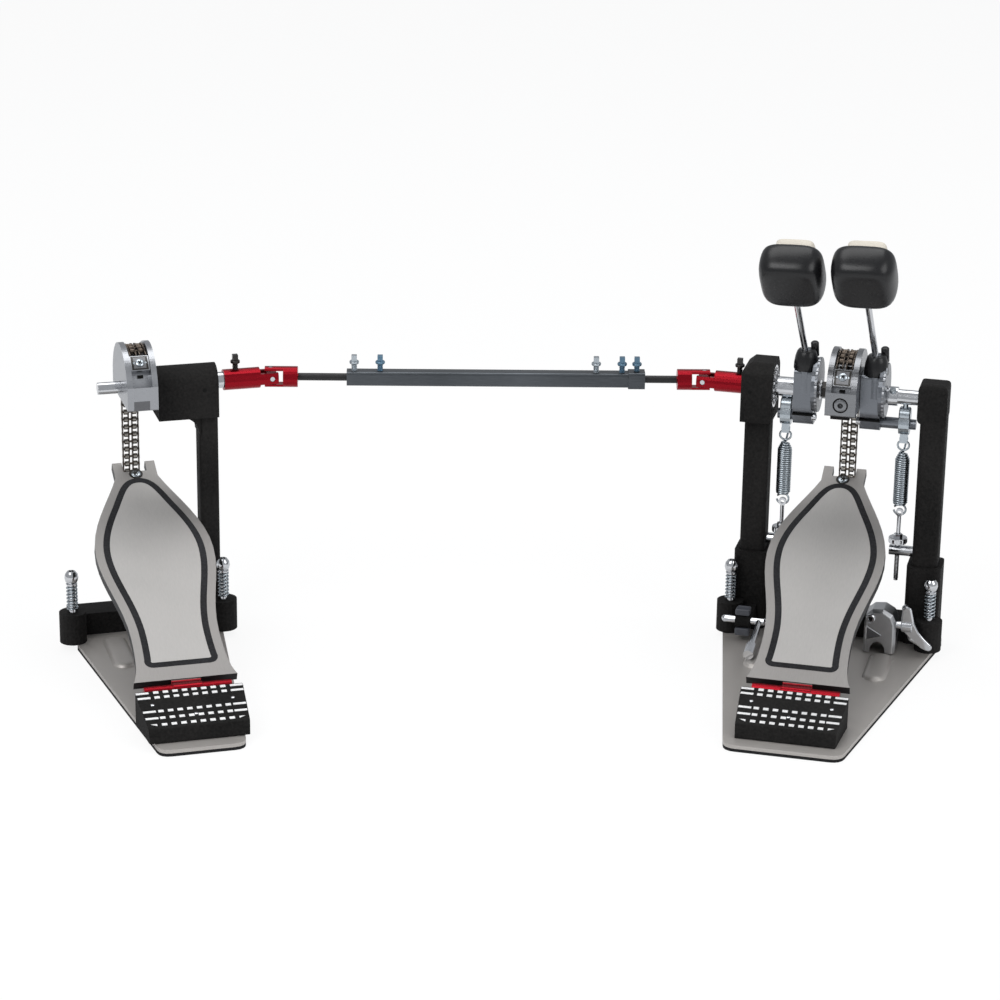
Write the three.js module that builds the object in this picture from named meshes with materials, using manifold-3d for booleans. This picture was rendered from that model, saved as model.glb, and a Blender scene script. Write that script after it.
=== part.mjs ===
// Double bass drum pedal: a primary pedal with two beaters, a slave pedal and the drive linkage
// between them.
// Millimetres, +Z up. The origin lies on the floor under the primary pedal's axle; the linkage runs
// along X.
import * as THREE from 'three';
import { mergeVertices } from 'three/addons/utils/BufferGeometryUtils.js';
import Module from 'manifold-3d';

const wasm = await Module();
wasm.setup();

// ---------------------------------------------------------------- driving dimensions
const GAP = 0.3; // running or seating clearance between neighbouring pieces
const AXLE_Z = 211; // height of both axles over the floor
const TOE_OUT = 15; // degrees that each pedal's toe turns away from the other pedal
const PEDAL_SPACING = 566; // between the two pedals' axle centres, along the linkage
const PRIMARY_JOINT_X = 114; // from the primary pedal's centre to its universal joint
const SLAVE_JOINT_X = 108; // from the slave pedal's centre to its universal joint

const PAD_T = 2.2;
const PLATE_T = 3;
const PLATE_Z = PAD_T + GAP;
const DECK_Z = PLATE_Z + PLATE_T + GAP; // what stands on a base plate starts here
const HEEL_END_Y = -254; // front edge of both base plates, at the player's end
const PLATE_CORNER_R = 9;
const RIB = { width: 16, height: 1.8 };

const BASE = {
  primary: {
    heelHalf: 45, wideHalf: 92, wideY: 6, toeHalf: 46, toeY: 62, ribX: 48, ribY: [-100, -46],
    spurX: 81.6, spurHoleR: 3.6,
  },
  slave: {
    heelHalf: 33, wideHalf: 64, wideY: 6, toeHalf: 60, toeY: 16, ribX: 30, ribY: [-87, -24],
    spurX: 62, spurHoleR: 7,
  },
};

const CROSSBAR = { halfY: 12, top: 24 };
const EAR = { y: -22, radius: 11, top: 31 };
const POST = { depth: 24, cornerR: 5, floor: 12 };
const POST_LEFT = { x0: -78, x1: -57.2 };
const POST_RIGHT = { x0: 63.5, x1: 84.5, headX0: 61, headDown: 18, top: 225.5 };
const POST_SLAVE = { x0: 47, x1: 63, depth: 20 };
const SOCKET = { wall: 3.5, top: 72 };
const HEAD = { x0: -80.3, x1: -55.3, halfY: 20, up: 22, down: 27, chamfer: 8 };
const HEAD_SLAVE = { x0: 13.6, x1: 62.5, radius: 15, down: 26.5, filletR: 15 };

const SPUR = { shankR: 3, ballR: 5.8, ballZ: 60.5, springR: 4.8, tipZ: 0.6, pointLength: 7 };

// cam and chain: a two-strand roller chain of 6.35 mm pitch
const PITCH = 6.35;
const CAM = {
  width: 24.6, flangeR: 36, pitchR: 32, grooveFloorR: 28, grooveHalf: 7.8, grooveEnd: 165,
  flatY: -34.8, flatZ: -10,
};
// the cam and chain stand a little to one side of the board's middle
const CAM_X = { primary: 2.3, slave: -2.3 };
const CHAIN = { halfWidth: 6.8, halfHeight: 3, cheekInner: 2.6, tongueHalf: 2.3, linksPerSegment: 2 };
const WRAP_LINKS = { primary: 7, slave: 6 };
// the block that clamps the chain's end, in degrees round the cam
const CLAMP = { top: 34.6, primary: { from: 132, to: 156 }, slave: { from: 119, to: 142 } };
const LINK_ARC = 2 * THREE.MathUtils.radToDeg(Math.asin(PITCH / 2 / CAM.pitchR));
const SEGMENT_ARC = LINK_ARC * CHAIN.linksPerSegment;
const FREE_ARC = 2 * SEGMENT_ARC; // the arc that unwinds in a full stroke

// footboard, in its own frame: v runs up the board from its rear edge, its top face is at zero
const BOARD = {
  slope: 24.6, length: 243.5, thickness: 7, wall: 4, deck: 2.6, edgeZ: 33,
  heelHalf: 40.3, waistHalf: 34.5, waistV: 46, bellyHalf: 47.2, bellyV: 138, neckHalf: 17.4, neckV: 226,
  notchHalf: 9.5, notchDepth: 11, hookV: 237,
};
const BOARD_TILT = THREE.MathUtils.degToRad(BOARD.slope);
const HOOK_DROP = BOARD.thickness / 2;
const BOARD_Y = CAM.pitchR - BOARD.hookV * Math.cos(BOARD_TILT) - HOOK_DROP * Math.sin(BOARD_TILT);
const HOOK_Z = BOARD.edgeZ + BOARD.hookV * Math.sin(BOARD_TILT) - HOOK_DROP * Math.cos(BOARD_TILT);

const HINGE = { back: 7, drop: 5.5, barrelR: 4, pinR: 1.6, centreHalf: 11.4, endHalf: 34, leaf: 2.5,
  foot: 13 };
const HINGE_Y = BOARD_Y - HINGE.back;
const HINGE_Z = BOARD.edgeZ - HINGE.drop;
const HEEL = { backHalf: 42, frontHalf: 38.5, length: 45.5, lean: 3.3, lip: 17, backTop: 30, cornerR: 4 };
const HEEL_BACK_Y = HINGE_Y - HINGE.barrelR - GAP;

// rotating parts on the axle
const SHAFT = { r: 6, left: -18.2, right: 75, spigotR: 4.7, spigotLength: 16, collarR: 7.8,
  collar: [36.5, 44] };
const SLEEVE = { r: 8.2, right: -18.6, shoulder: -79, endR: 5, end: -98 };
const BEARING = { r: 17.3, from: -62.3, to: -55.5 };
const SLAVE_AXLE = { r: 4.9, left: -33, right: 92, collarR: 6.6, collar: [63.4, 68.6] };
const SLAVE_BEARING = { r: 11.2, from: 13.9, to: 20 };
const HUBS = {
  left: { x0: -39, x1: -22.5, disc: -18.6, boreR: SLEEVE.r, studFrom: -39, studTo: -52.3,
    hangerX: -45.4, shaftX: -30.5, reach: 107 },
  right: { x0: 15, x1: 31.4, disc: 35.4, boreR: SHAFT.r, studFrom: 31.4, studTo: 59.5, hangerX: 50.4,
    shaftX: 26, reach: 112 },
};
const HUB = { top: 19, bottom: -28, halfY: 13, toeHalfY: 7.5, discR: 22, discY: -2, discZ: 5 };
const STUD = { z: -22.5, thickR: 4.6, neckR: 3.4, capR: 4.2, capLength: 4 };
const HANGER = { r: 8.5, width: 8.4, lugBottom: -15.5, lugHalf: 3 };

// beater: its shaft passes the clamp above the axle and leans back towards the player and a little
// to the left
const BEATER = { lean: 38, sideLean: 2.6, clampY: -6, clampZ: 28, clampR: 8.4, shaftR: 2.6, below: 13 };
const BEATER_HEAD = { width: 51, height: 53, depth: 29, cornerR: 13, rimR: 5 };
const FELT = { width: 31, height: 31, depth: 12, cornerR: 8 };

// return springs between the hangers and the swivel studs in the posts
const SPRING = { r: 6, top: 166.5, bottom: 117.5, wire: 1.1 };
const EYE = { z: 113.2, ringR: 3.2, boltR: 1.7, boltEnd: 54.5, nutR: 7.5, nut: [87.2, 91.6] };
const SWIVEL = { z: 80.4, r: 4.3, free: 6.5, intoPost: 6 };

// toe clamp and drum key
const CLAMP_BLOCK = { x0: 31.5, x1: 58, y0: -44, y1: -18, top: 44, axisY: -38.5, axisZ: 30.5 };
const WING = { screwR: 3, hubR: 5, armR: 3, upper: 15, lower: 20, outX: 84 };
const JAW = { half: 14, pivotY: 31, pivotZ: 25, pinR: 2.4, rear: 18, front: 59, lip: 17.5, thickness: 6 };
const LUG = { inner: 14.4, outer: 20, r: 7 };
const KEY = { y: -42, z: 22.5, r: 3, left: -82, right: -50, shankX: -54, shankR: 2.6, socketR: 4.2,
  toX: -54, toY: -92, toZ: 12.6 };
const CLIP = { x0: -73, x1: -61, r: 6.4, armHalfZ: 4 };

// drive linkage
const YOKE = { r: 8.5, base: 9.5, tip: 5.1, armHalf: 4.55, slotHalf: 4.2, pinHole: 2.2 };
const FAR_YOKE = { end: 22, base: 10.3, tip: 4.6, slotHalf: 5.7, armHalf: 4.05 };
const CROSS = { half: 3.9, tall: 5.4, pinR: 1.9, pinReach: 8 };
const ROD = { r: 2.9, insideSlave: 62, insidePrimary: 22 };
const TUBE = { side: 12, cornerR: 2.5, boreR: 3.4, left: -400, right: -171, collar: 12.5, collarSide: 14 };

// ---------------------------------------------------------------- materials
function paint(color, roughness, metalness) {
  return new THREE.MeshStandardMaterial({ color, roughness, metalness });
}
const STEEL = () => paint(0xb9b6b0, 0.35, 1);
const ALUMINIUM = () => paint(0xc2c0bd, 0.3, 1);
const CHROME = () => paint(0xd4d6d8, 0.12, 1);
const BLACK_COAT = () => paint(0x17171a, 0.75, 0.1);
const BLACK_PLASTIC = () => paint(0x101012, 0.35, 0);
const RED_ANODISED = () => paint(0xb01020, 0.3, 0.8);
const GUNMETAL = () => paint(0x55585b, 0.35, 0.9);
const RUBBER = () => paint(0x0c0c0c, 0.9, 0);
const FELT_CREAM = () => paint(0xe9e2d2, 0.95, 0);
const CHAIN_STEEL = () => paint(0x8b8378, 0.35, 1);

// ---------------------------------------------------------------- solid tools
function solid(geometry) {
  const bare = geometry.clone();
  bare.deleteAttribute('normal');
  bare.deleteAttribute('uv');
  const merged = mergeVertices(bare, 1e-4);
  const corners = merged.index.array;
  const triangles = [];
  for (let i = 0; i < corners.length; i += 3) {
    const [a, b, c] = [corners[i], corners[i + 1], corners[i + 2]];
    if (a !== b && b !== c && c !== a) triangles.push(a, b, c);
  }
  const vertProperties = new Float32Array(merged.attributes.position.array);
  const mesh = new wasm.Mesh({ numProp: 3, vertProperties, triVerts: new Uint32Array(triangles) });
  return new wasm.Manifold(mesh);
}

function geometryOf(body) {
  const mesh = body.getMesh();
  const geometry = new THREE.BufferGeometry();
  geometry.setAttribute('position', new THREE.BufferAttribute(new Float32Array(mesh.vertProperties), 3));
  geometry.setIndex(new THREE.BufferAttribute(new Uint32Array(mesh.triVerts), 1));
  return geometry;
}

const join = (...bodies) => bodies.reduce((all, body) => all.add(body));
const cut = (body, ...tools) => tools.reduce((rest, tool) => rest.subtract(tool), body);

function block(x0, x1, y0, y1, z0, z1) {
  const geometry = new THREE.BoxGeometry(Math.abs(x1 - x0), Math.abs(y1 - y0), Math.abs(z1 - z0));
  geometry.translate((x0 + x1) / 2, (y0 + y1) / 2, (z0 + z1) / 2);
  return solid(geometry);
}

// a round bar between two points
function bar(from, to, radius, sides = 20, endRadius = radius) {
  const a = new THREE.Vector3(...from);
  const b = new THREE.Vector3(...to);
  const along = b.clone().sub(a);
  const geometry = new THREE.CylinderGeometry(endRadius, radius, along.length(), sides);
  const turn = new THREE.Quaternion().setFromUnitVectors(new THREE.Vector3(0, 1, 0),
    along.clone().normalize());
  geometry.applyQuaternion(turn);
  geometry.translate(...a.add(b).multiplyScalar(0.5));
  return solid(geometry);
}
const barX = (x0, x1, y, z, radius, sides) => bar([x0, y, z], [x1, y, z], radius, sides);
const barY = (y0, y1, x, z, radius, sides) => bar([x, y0, z], [x, y1, z], radius, sides);
const barZ = (z0, z1, x, y, radius, sides) => bar([x, y, z0], [x, y, z1], radius, sides);

function ball(x, y, z, radius, sides = 16) {
  const geometry = new THREE.SphereGeometry(radius, sides, sides / 2);
  geometry.translate(x, y, z);
  return solid(geometry);
}

// an outline with its corners rounded
function outline(points, radius = 0) {
  const shape = new THREE.Shape();
  const corners = points.map((p) => new THREE.Vector2(...p));
  corners.forEach((corner, i) => {
    const before = corners[(i + corners.length - 1) % corners.length];
    const after = corners[(i + 1) % corners.length];
    const start = corner.clone().lerp(before, Math.min(0.49, radius / corner.distanceTo(before)));
    const end = corner.clone().lerp(after, Math.min(0.49, radius / corner.distanceTo(after)));
    if (i === 0) shape.moveTo(start.x, start.y);
    else shape.lineTo(start.x, start.y);
    if (radius > 0) shape.quadraticCurveTo(corner.x, corner.y, end.x, end.y);
  });
  shape.closePath();
  return shape;
}
const rectangle = (u0, u1, v0, v1, radius) => outline([[u0, v0], [u1, v0], [u1, v1], [u0, v1]], radius);

function extrude(shape, depth, curveSegments = 4) {
  return new THREE.ExtrudeGeometry(shape, { depth, bevelEnabled: false, curveSegments });
}

// outlines drawn in XY and raised in Z, drawn in YZ and run along X, or drawn in XZ and run along Y
function prismZ(shape, z0, z1, curveSegments) {
  const geometry = extrude(shape, z1 - z0, curveSegments);
  geometry.translate(0, 0, z0);
  return solid(geometry);
}
function prismX(shape, x0, x1, curveSegments) {
  const geometry = extrude(shape, x1 - x0, curveSegments);
  geometry.applyMatrix4(new THREE.Matrix4().set(0, 0, 1, x0, 1, 0, 0, 0, 0, 1, 0, 0, 0, 0, 0, 1));
  return solid(geometry);
}
function prismY(shape, y0, y1, curveSegments) {
  const geometry = extrude(shape, y1 - y0, curveSegments);
  geometry.applyMatrix4(new THREE.Matrix4().set(1, 0, 0, 0, 0, 0, -1, y1, 0, 1, 0, 0, 0, 0, 0, 1));
  return solid(geometry);
}

function lathed(profile, sides = 20) {
  const geometry = new THREE.LatheGeometry(profile.map((p) => new THREE.Vector2(...p)), sides);
  geometry.rotateX(Math.PI / 2);
  return solid(geometry);
}

function add(group, name, body, material) {
  const mesh = new THREE.Mesh(geometryOf(body), material);
  mesh.name = name;
  group.add(mesh);
}

// ---------------------------------------------------------------- pedal base
function plateShape(base) {
  return outline([
    [-base.heelHalf, HEEL_END_Y], [base.heelHalf, HEEL_END_Y], [base.wideHalf, base.wideY],
      [base.toeHalf, base.toeY],
    [-base.toeHalf, base.toeY], [-base.wideHalf, base.wideY],
  ], PLATE_CORNER_R);
}

function spurHoles(base) {
  return [-1, 1].map((side) => barZ(0 - GAP, EAR.top, side * base.spurX, EAR.y, base.spurHoleR));
}

function basePlate(base) {
  const plate = prismZ(plateShape(base), PLATE_Z, PLATE_Z + PLATE_T);
  const half = RIB.width / 2;
  const ribs = [-1, 1].map((side) => {
    const x = side * base.ribX;
    return prismZ(rectangle(x - half, x + half, ...base.ribY, half), PLATE_Z + 1,
      PLATE_Z + PLATE_T + RIB.height);
  });
  return cut(join(plate, ...ribs), ...spurHoles(base));
}

function basePad(base) {
  return cut(prismZ(plateShape(base), 0, PAD_T), ...spurHoles(base));
}

function ear(x) {
  const hole = barZ(0, EAR.top + 1, x, EAR.y, SPUR.shankR + GAP, 16);
  return { body: barZ(DECK_Z, EAR.top, x, EAR.y, EAR.radius), hole };
}

function socket(post) {
  const { wall, top } = SOCKET;
  const half = POST.depth / 2;
  const outer = rectangle(post.x0 - wall, post.x1 + wall, -half - wall, half + wall, POST.cornerR);
  const inner = rectangle(post.x0 - GAP, post.x1 + GAP, -half - GAP, half + GAP, POST.cornerR);
  return { body: prismZ(outer, DECK_Z, top), hole: prismZ(inner, POST.floor, top + 1) };
}

function keyClip() {
  const arm = block(CLIP.x0, CLIP.x1, KEY.y, -POST.depth / 2, KEY.z - CLIP.armHalfZ, KEY.z + CLIP.armHalfZ);
  const foot = block(CLIP.x0, CLIP.x1, -POST.depth / 2 - 2 * SOCKET.wall, 0, DECK_Z, KEY.z);
  return join(arm, foot, barX(CLIP.x0, CLIP.x1, KEY.y, KEY.z, CLIP.r, 16));
}

function primaryCasting() {
  const { spurX } = BASE.primary;
  const ears = [ear(-spurX), ear(spurX)];
  const sockets = [socket(POST_LEFT), socket(POST_RIGHT)];
  const crossbar = block(POST_LEFT.x0, POST_RIGHT.x1, -CROSSBAR.halfY, CROSSBAR.halfY, DECK_Z,
    CROSSBAR.top);
  const lugs = [-1, 1].map((side) => {
    const reach = block(side * LUG.inner, side * LUG.outer, 0, JAW.pivotY, DECK_Z, JAW.pivotZ);
    return join(reach, barX(side * LUG.inner, side * LUG.outer, JAW.pivotY, JAW.pivotZ, LUG.r));
  });
  const body = join(crossbar, ...ears.map((e) => e.body), ...sockets.map((s) => s.body), ...lugs,
    keyClip());
  const pinHole = barX(-LUG.outer - 1, LUG.outer + 1, JAW.pivotY, JAW.pivotZ, JAW.pinR + GAP, 16);
  const keyHole = barX(CLIP.x0 - 1, CLIP.x1 + 1, KEY.y, KEY.z, KEY.r + GAP, 16);
  return cut(body, pinHole, keyHole, ...ears.map((e) => e.hole), ...sockets.map((s) => s.hole));
}

function postShaft(post, depth, z0, z1) {
  return prismZ(rectangle(post.x0, post.x1, -depth / 2, depth / 2, POST.cornerR), z0, z1);
}

function leftPost() {
  const { x0, x1, halfY, up, down, chamfer } = HEAD;
  const [low, high] = [AXLE_Z - down, AXLE_Z + up];
  const profile = outline([
    [-halfY, low], [halfY, low], [halfY, high - chamfer], [halfY - chamfer, high], [chamfer - halfY, high],
    [-halfY, high - chamfer],
  ], 2);
  const cornerCut = block(x0 - 1, x0 + chamfer, -halfY - 1, halfY + 1, high, high + 2 * chamfer);
  const slope = prismY(outline([[x0 - 1, high - chamfer], [x0 + chamfer, high + 1],
    [x0 - 1, high + 1]]), -halfY - 1, halfY + 1);
  const body = join(prismX(profile, x0, x1), postShaft(POST_LEFT, POST.depth, POST.floor + GAP, AXLE_Z));
  const bore = barX(x0 - 1, x1 + 1, 0, AXLE_Z, SLEEVE.r + 1, 24);
  const pocket = barX(BEARING.from - GAP, x1 + 1, 0, AXLE_Z, BEARING.r + GAP, 32);
  const swivelHole = barX(POST_LEFT.x1 - SWIVEL.intoPost - GAP, x1 + 1, 0, SWIVEL.z, SWIVEL.r + GAP, 16);
  return cut(body, cornerCut, slope, bore, pocket, swivelHole);
}

function rightPost() {
  const { x0, x1, headX0, headDown, top } = POST_RIGHT;
  const upright = postShaft(POST_RIGHT, POST.depth, POST.floor + GAP, top);
  const crown = prismX(rectangle(-POST.depth / 2, POST.depth / 2, 0, top, POST.cornerR), headX0, x1);
  const face = prismY(rectangle(headX0, x1, 0, top, POST.cornerR), -POST.depth / 2, POST.depth / 2);
  const head = prismY(rectangle(headX0, x1, AXLE_Z - headDown, top, POST.cornerR), -POST.depth / 2,
    POST.depth / 2);
  const bore = barX(headX0 - 1, SHAFT.right + GAP, 0, AXLE_Z, SHAFT.r + GAP, 24);
  const swivelHole = barX(x0 - 1, x0 + SWIVEL.intoPost + GAP, 0, SWIVEL.z, SWIVEL.r + GAP, 16);
  return cut(join(upright, head).intersect(crown).intersect(face), bore, swivelHole);
}

function slaveCasting() {
  const { spurX } = BASE.slave;
  const ears = [ear(-spurX), ear(spurX)];
  const { x0, x1, radius, down, filletR } = HEAD_SLAVE;
  const low = AXLE_Z - down;
  const dome = new THREE.Shape();
  dome.moveTo(-radius, low);
  dome.lineTo(radius, low);
  dome.lineTo(radius, AXLE_Z);
  dome.absarc(0, AXLE_Z, radius, 0, Math.PI);
  dome.closePath();
  const fillet = new THREE.Shape();
  fillet.moveTo(POST_SLAVE.x0 + 1, low + 1);
  fillet.lineTo(POST_SLAVE.x0 - filletR, low + 1);
  fillet.lineTo(POST_SLAVE.x0 - filletR, low);
  fillet.absarc(POST_SLAVE.x0 - filletR, low - filletR, filletR, Math.PI / 2, 0, true);
  fillet.lineTo(POST_SLAVE.x0 + 1, low - filletR);
  fillet.closePath();
  const half = POST_SLAVE.depth / 2;
  const crossbar = block(-spurX, spurX, -CROSSBAR.halfY, CROSSBAR.halfY, DECK_Z, CROSSBAR.top);
  const body = join(
    crossbar, ...ears.map((e) => e.body), postShaft(POST_SLAVE, POST_SLAVE.depth, DECK_Z, AXLE_Z),
    prismX(dome, x0, x1, 12), prismY(fillet, -half, half, 8),
  );
  const bore = barX(x0 - 1, x1 + 1, 0, AXLE_Z, SLAVE_AXLE.r + GAP, 20);
  const pocket = barX(x0 - 1, SLAVE_BEARING.to + GAP, 0, AXLE_Z, SLAVE_BEARING.r + GAP, 28);
  return cut(body, bore, pocket, ...ears.map((e) => e.hole));
}

function spur(x) {
  const { shankR, ballR, ballZ, springR, tipZ, pointLength } = SPUR;
  const profile = [[0, tipZ], [shankR, tipZ + pointLength], [shankR, EAR.top + GAP],
    [springR, EAR.top + GAP]];
  profile.push([springR, ballZ - ballR / 2]);
  for (let step = 0; step <= 6; step += 1) {
    const angle = THREE.MathUtils.degToRad(-30 + 20 * step);
    profile.push([ballR * Math.cos(angle), ballZ + ballR * Math.sin(angle)]);
  }
  profile[profile.length - 1] = [0, ballZ + ballR];
  const body = lathed(profile, 16);
  return body.translate([x, EAR.y, 0]);
}

// ---------------------------------------------------------------- cam and chain
function ringSector(inner, outer, fromDeg, toDeg) {
  const shape = new THREE.Shape();
  const [from, to] = [fromDeg, toDeg].map(THREE.MathUtils.degToRad);
  shape.absarc(0, 0, outer, from, to, false);
  shape.absarc(0, 0, inner, to, from, true);
  shape.closePath();
  return shape;
}

const onArc = (deg) => {
  const angle = THREE.MathUtils.degToRad(deg);
  return [CAM.pitchR * Math.cos(angle), CAM.pitchR * Math.sin(angle)];
};

function cam(shaftR, x, arc) {
  const { width, flangeR, grooveFloorR, grooveHalf, grooveEnd, flatY, flatZ } = CAM;
  const half = width / 2;
  const disc = new THREE.Shape();
  disc.absarc(0, 0, flangeR, 0, 2 * Math.PI);
  const keep = block(-half, half, flatY, flangeR + 1, flatZ, flangeR + 1);
  const groove = prismX(ringSector(grooveFloorR, flangeR + 2, -90, grooveEnd), -grooveHalf, grooveHalf, 40);
  const clamp = prismX(
    ringSector(grooveFloorR - 1, CLAMP.top, arc.from, arc.to), GAP - grooveHalf, grooveHalf - GAP, 5);
  const round = prismX(disc, -half, half, 48).intersect(keep);
  const bore = barX(-half - 1, half + 1, 0, 0, shaftR + GAP, 24);
  return cut(join(cut(round, groove), clamp), bore).translate([x, 0, AXLE_Z]);
}

// where two chain segments meet, one has two cheeks and the other a tongue between them, round
// about one pin
function cheeksAt([y, z]) {
  return barX(-CHAIN.cheekInner, CHAIN.cheekInner, y, z, CHAIN.halfHeight + GAP, 14);
}
function tongueAt([y, z]) {
  const { halfWidth, tongueHalf, halfHeight } = CHAIN;
  const cuts = [-1, 1].map((side) => barX(side * tongueHalf, side * (halfWidth + 1), y, z,
    halfHeight + GAP, 14));
  return join(...cuts);
}

function segmentShape([y0, z0], [y1, z1]) {
  const { halfHeight } = CHAIN;
  const angle = Math.atan2(z1 - z0, y1 - y0);
  const shape = new THREE.Shape();
  shape.absarc(y0, z0, halfHeight, angle + Math.PI / 2, angle + 1.5 * Math.PI, false);
  shape.absarc(y1, z1, halfHeight, angle - Math.PI / 2, angle + Math.PI / 2, false);
  shape.closePath();
  return shape;
}

function chain(group, prefix) {
  const { halfWidth, halfHeight } = CHAIN;
  const lift = (body) => body.translate([CAM_X[prefix], 0, AXLE_Z]);
  const wrapEnd = FREE_ARC + WRAP_LINKS[prefix] * LINK_ARC;
  const band = prismX(
    ringSector(CAM.pitchR - halfHeight, CAM.pitchR + halfHeight, FREE_ARC, wrapEnd), -halfWidth,
      halfWidth, 12);
  const roundEnd = barX(-halfWidth, halfWidth, ...onArc(FREE_ARC), halfHeight, 14);
  add(group, `${prefix}_chain_wrap`, lift(cut(join(band, roundEnd), tongueAt(onArc(FREE_ARC)))),
    CHAIN_STEEL());
  [2, 1].forEach((index, order) => {
    const [upper, lower] = [onArc(index * SEGMENT_ARC), onArc((index - 1) * SEGMENT_ARC)];
    const link = prismX(segmentShape(lower, upper), -halfWidth, halfWidth, 6);
    add(group, `${prefix}_chain_link_${order + 1}`, lift(cut(link, cheeksAt(upper), tongueAt(lower))),
      CHAIN_STEEL());
  });
  const hook = [CAM.pitchR, HOOK_Z - AXLE_Z];
  const drop = prismX(segmentShape(hook, onArc(0)), -halfWidth, halfWidth, 6);
  add(group, `${prefix}_chain_drop`, lift(cut(drop, cheeksAt(onArc(0)))), CHAIN_STEEL());
}

// ---------------------------------------------------------------- footboard, hinge and heel plate
function boardShape(inset) {
  const b = BOARD;
  const shape = new THREE.Shape();
  const [heel, waist, belly, neck] = [b.heelHalf, b.waistHalf, b.bellyHalf,
    b.neckHalf].map((half) => half - inset);
  const top = b.length - (inset > 0 ? b.notchDepth + inset : 0);
  shape.moveTo(-heel, inset);
  shape.lineTo(heel, inset);
  shape.bezierCurveTo(heel - 5, 9 + inset, waist, 28, waist, b.waistV);
  shape.bezierCurveTo(waist, 82, belly, 106, belly, b.bellyV);
  shape.bezierCurveTo(belly, 172, neck + 10, 199, neck, b.neckV - inset);
  shape.lineTo(neck, top);
  shape.lineTo(-neck, top);
  shape.lineTo(-neck, b.neckV - inset);
  shape.bezierCurveTo(-neck - 10, 199, -belly, 172, -belly, b.bellyV);
  shape.bezierCurveTo(-belly, 106, -waist, 82, -waist, b.waistV);
  shape.bezierCurveTo(-waist, 28, -heel + 5, 9 + inset, -heel, inset);
  shape.closePath();
  return shape;
}

function footboard(group, prefix) {
  const b = BOARD;
  const pin = new THREE.Vector3(0, -HINGE.back, -HINGE.drop).applyAxisAngle(new THREE.Vector3(1, 0, 0),
    -BOARD_TILT);
  const slab = prismZ(boardShape(0), -b.thickness, 0, 8);
  const hollow = prismZ(boardShape(b.wall), -b.thickness - 1, -b.deck, 8);
  const notch = block(-b.notchHalf, b.notchHalf, b.length - b.notchDepth, b.length + 1,
    -b.thickness - 1, 1);
  const { centreHalf, barrelR, leaf, pinR } = HINGE;
  const leafZ = pin.z - leaf / 2;
  const tongue = block(-centreHalf, centreHalf, pin.y, b.wall / 2, leafZ, leafZ + leaf);
  const barrel = barX(-centreHalf, centreHalf, pin.y, pin.z, barrelR, 16);
  const bore = barX(-centreHalf - 1, centreHalf + 1, pin.y, pin.z, pinR + GAP, 12);
  const tilted = new THREE.Group();
  tilted.position.set(0, BOARD_Y, b.edgeZ);
  tilted.rotation.x = BOARD_TILT;
  add(tilted, `${prefix}_footboard`, cut(join(cut(slab, hollow, notch), tongue, barrel), bore),
    ALUMINIUM());
  group.add(tilted);
}

function hinge() {
  const { centreHalf, endHalf, barrelR, pinR, leaf, foot } = HINGE;
  const back = HINGE_Y - barrelR;
  const pin = barX(-endHalf, endHalf, HINGE_Y, HINGE_Z, pinR, 12);
  const barrels = [-1, 1].map((side) => barX(side * (centreHalf + GAP), side * endHalf, HINGE_Y,
    HINGE_Z, barrelR, 16));
  const wall = block(-endHalf, endHalf, back, back + leaf, DECK_Z, HINGE_Z);
  const clearance = block(-centreHalf - GAP, centreHalf + GAP, back - 1, back + 2 * barrelR,
    HINGE_Z - barrelR - 1, HINGE_Z + barrelR);
  const floor = block(-endHalf, endHalf, back, back + foot, DECK_Z, DECK_Z + leaf);
  return join(cut(wall, clearance), ...barrels, floor, pin);
}

function heelPlate() {
  const { backHalf, frontHalf, length, lean, lip, backTop, cornerR } = HEEL;
  const front = HEEL_BACK_Y - length;
  const side = outline([[front, DECK_Z], [HEEL_BACK_Y, DECK_Z], [HEEL_BACK_Y, backTop],
    [front + lean, lip]], 1.2);
  const plan = outline([
    [-frontHalf, front - 1], [frontHalf, front - 1], [backHalf, HEEL_BACK_Y + 1],
      [-backHalf, HEEL_BACK_Y + 1],
  ], cornerR);
  return prismX(side, -backHalf, backHalf).intersect(prismZ(plan, 0, backTop + 1));
}

// ---------------------------------------------------------------- axle parts
function mainShaft() {
  const { r, left, right, spigotR, spigotLength, collarR, collar } = SHAFT;
  return join(
    barX(left, right, 0, AXLE_Z, r), barX(left - spigotLength, left + 1, 0, AXLE_Z, spigotR),
    barX(...collar, 0, AXLE_Z, collarR),
  );
}

function driveSleeve() {
  const { r, right, shoulder, endR, end } = SLEEVE;
  const body = join(barX(shoulder, right, 0, AXLE_Z, r, 24), barX(end, shoulder + 1, 0, AXLE_Z, endR));
  const bore = barX(SHAFT.left - SHAFT.spigotLength - GAP, right + 1, 0, AXLE_Z, SHAFT.spigotR + GAP);
  return cut(body, bore);
}

function slaveAxle() {
  const { r, left, right, collarR, collar } = SLAVE_AXLE;
  return join(barX(left, right, 0, AXLE_Z, r), barX(...collar, 0, AXLE_Z, collarR));
}

function ring(x0, x1, outerR, innerR, sides = 28) {
  return cut(barX(x0, x1, 0, AXLE_Z, outerR, sides), barX(x0 - 1, x1 + 1, 0, AXLE_Z, innerR, sides));
}

const beaterTurn = () => [BEATER.lean, -BEATER.sideLean, 0].map(THREE.MathUtils.degToRad);
const beaterAxis = () => {
  const turned = new THREE.Euler(...beaterTurn());
  return new THREE.Vector3(0, 0, 1).applyEuler(turned);
};
const beaterPoint = (x, reach) => {
  const foot = new THREE.Vector3(x, BEATER.clampY, AXLE_Z + BEATER.clampZ);
  return foot.addScaledVector(beaterAxis(), reach).toArray();
};

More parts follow.
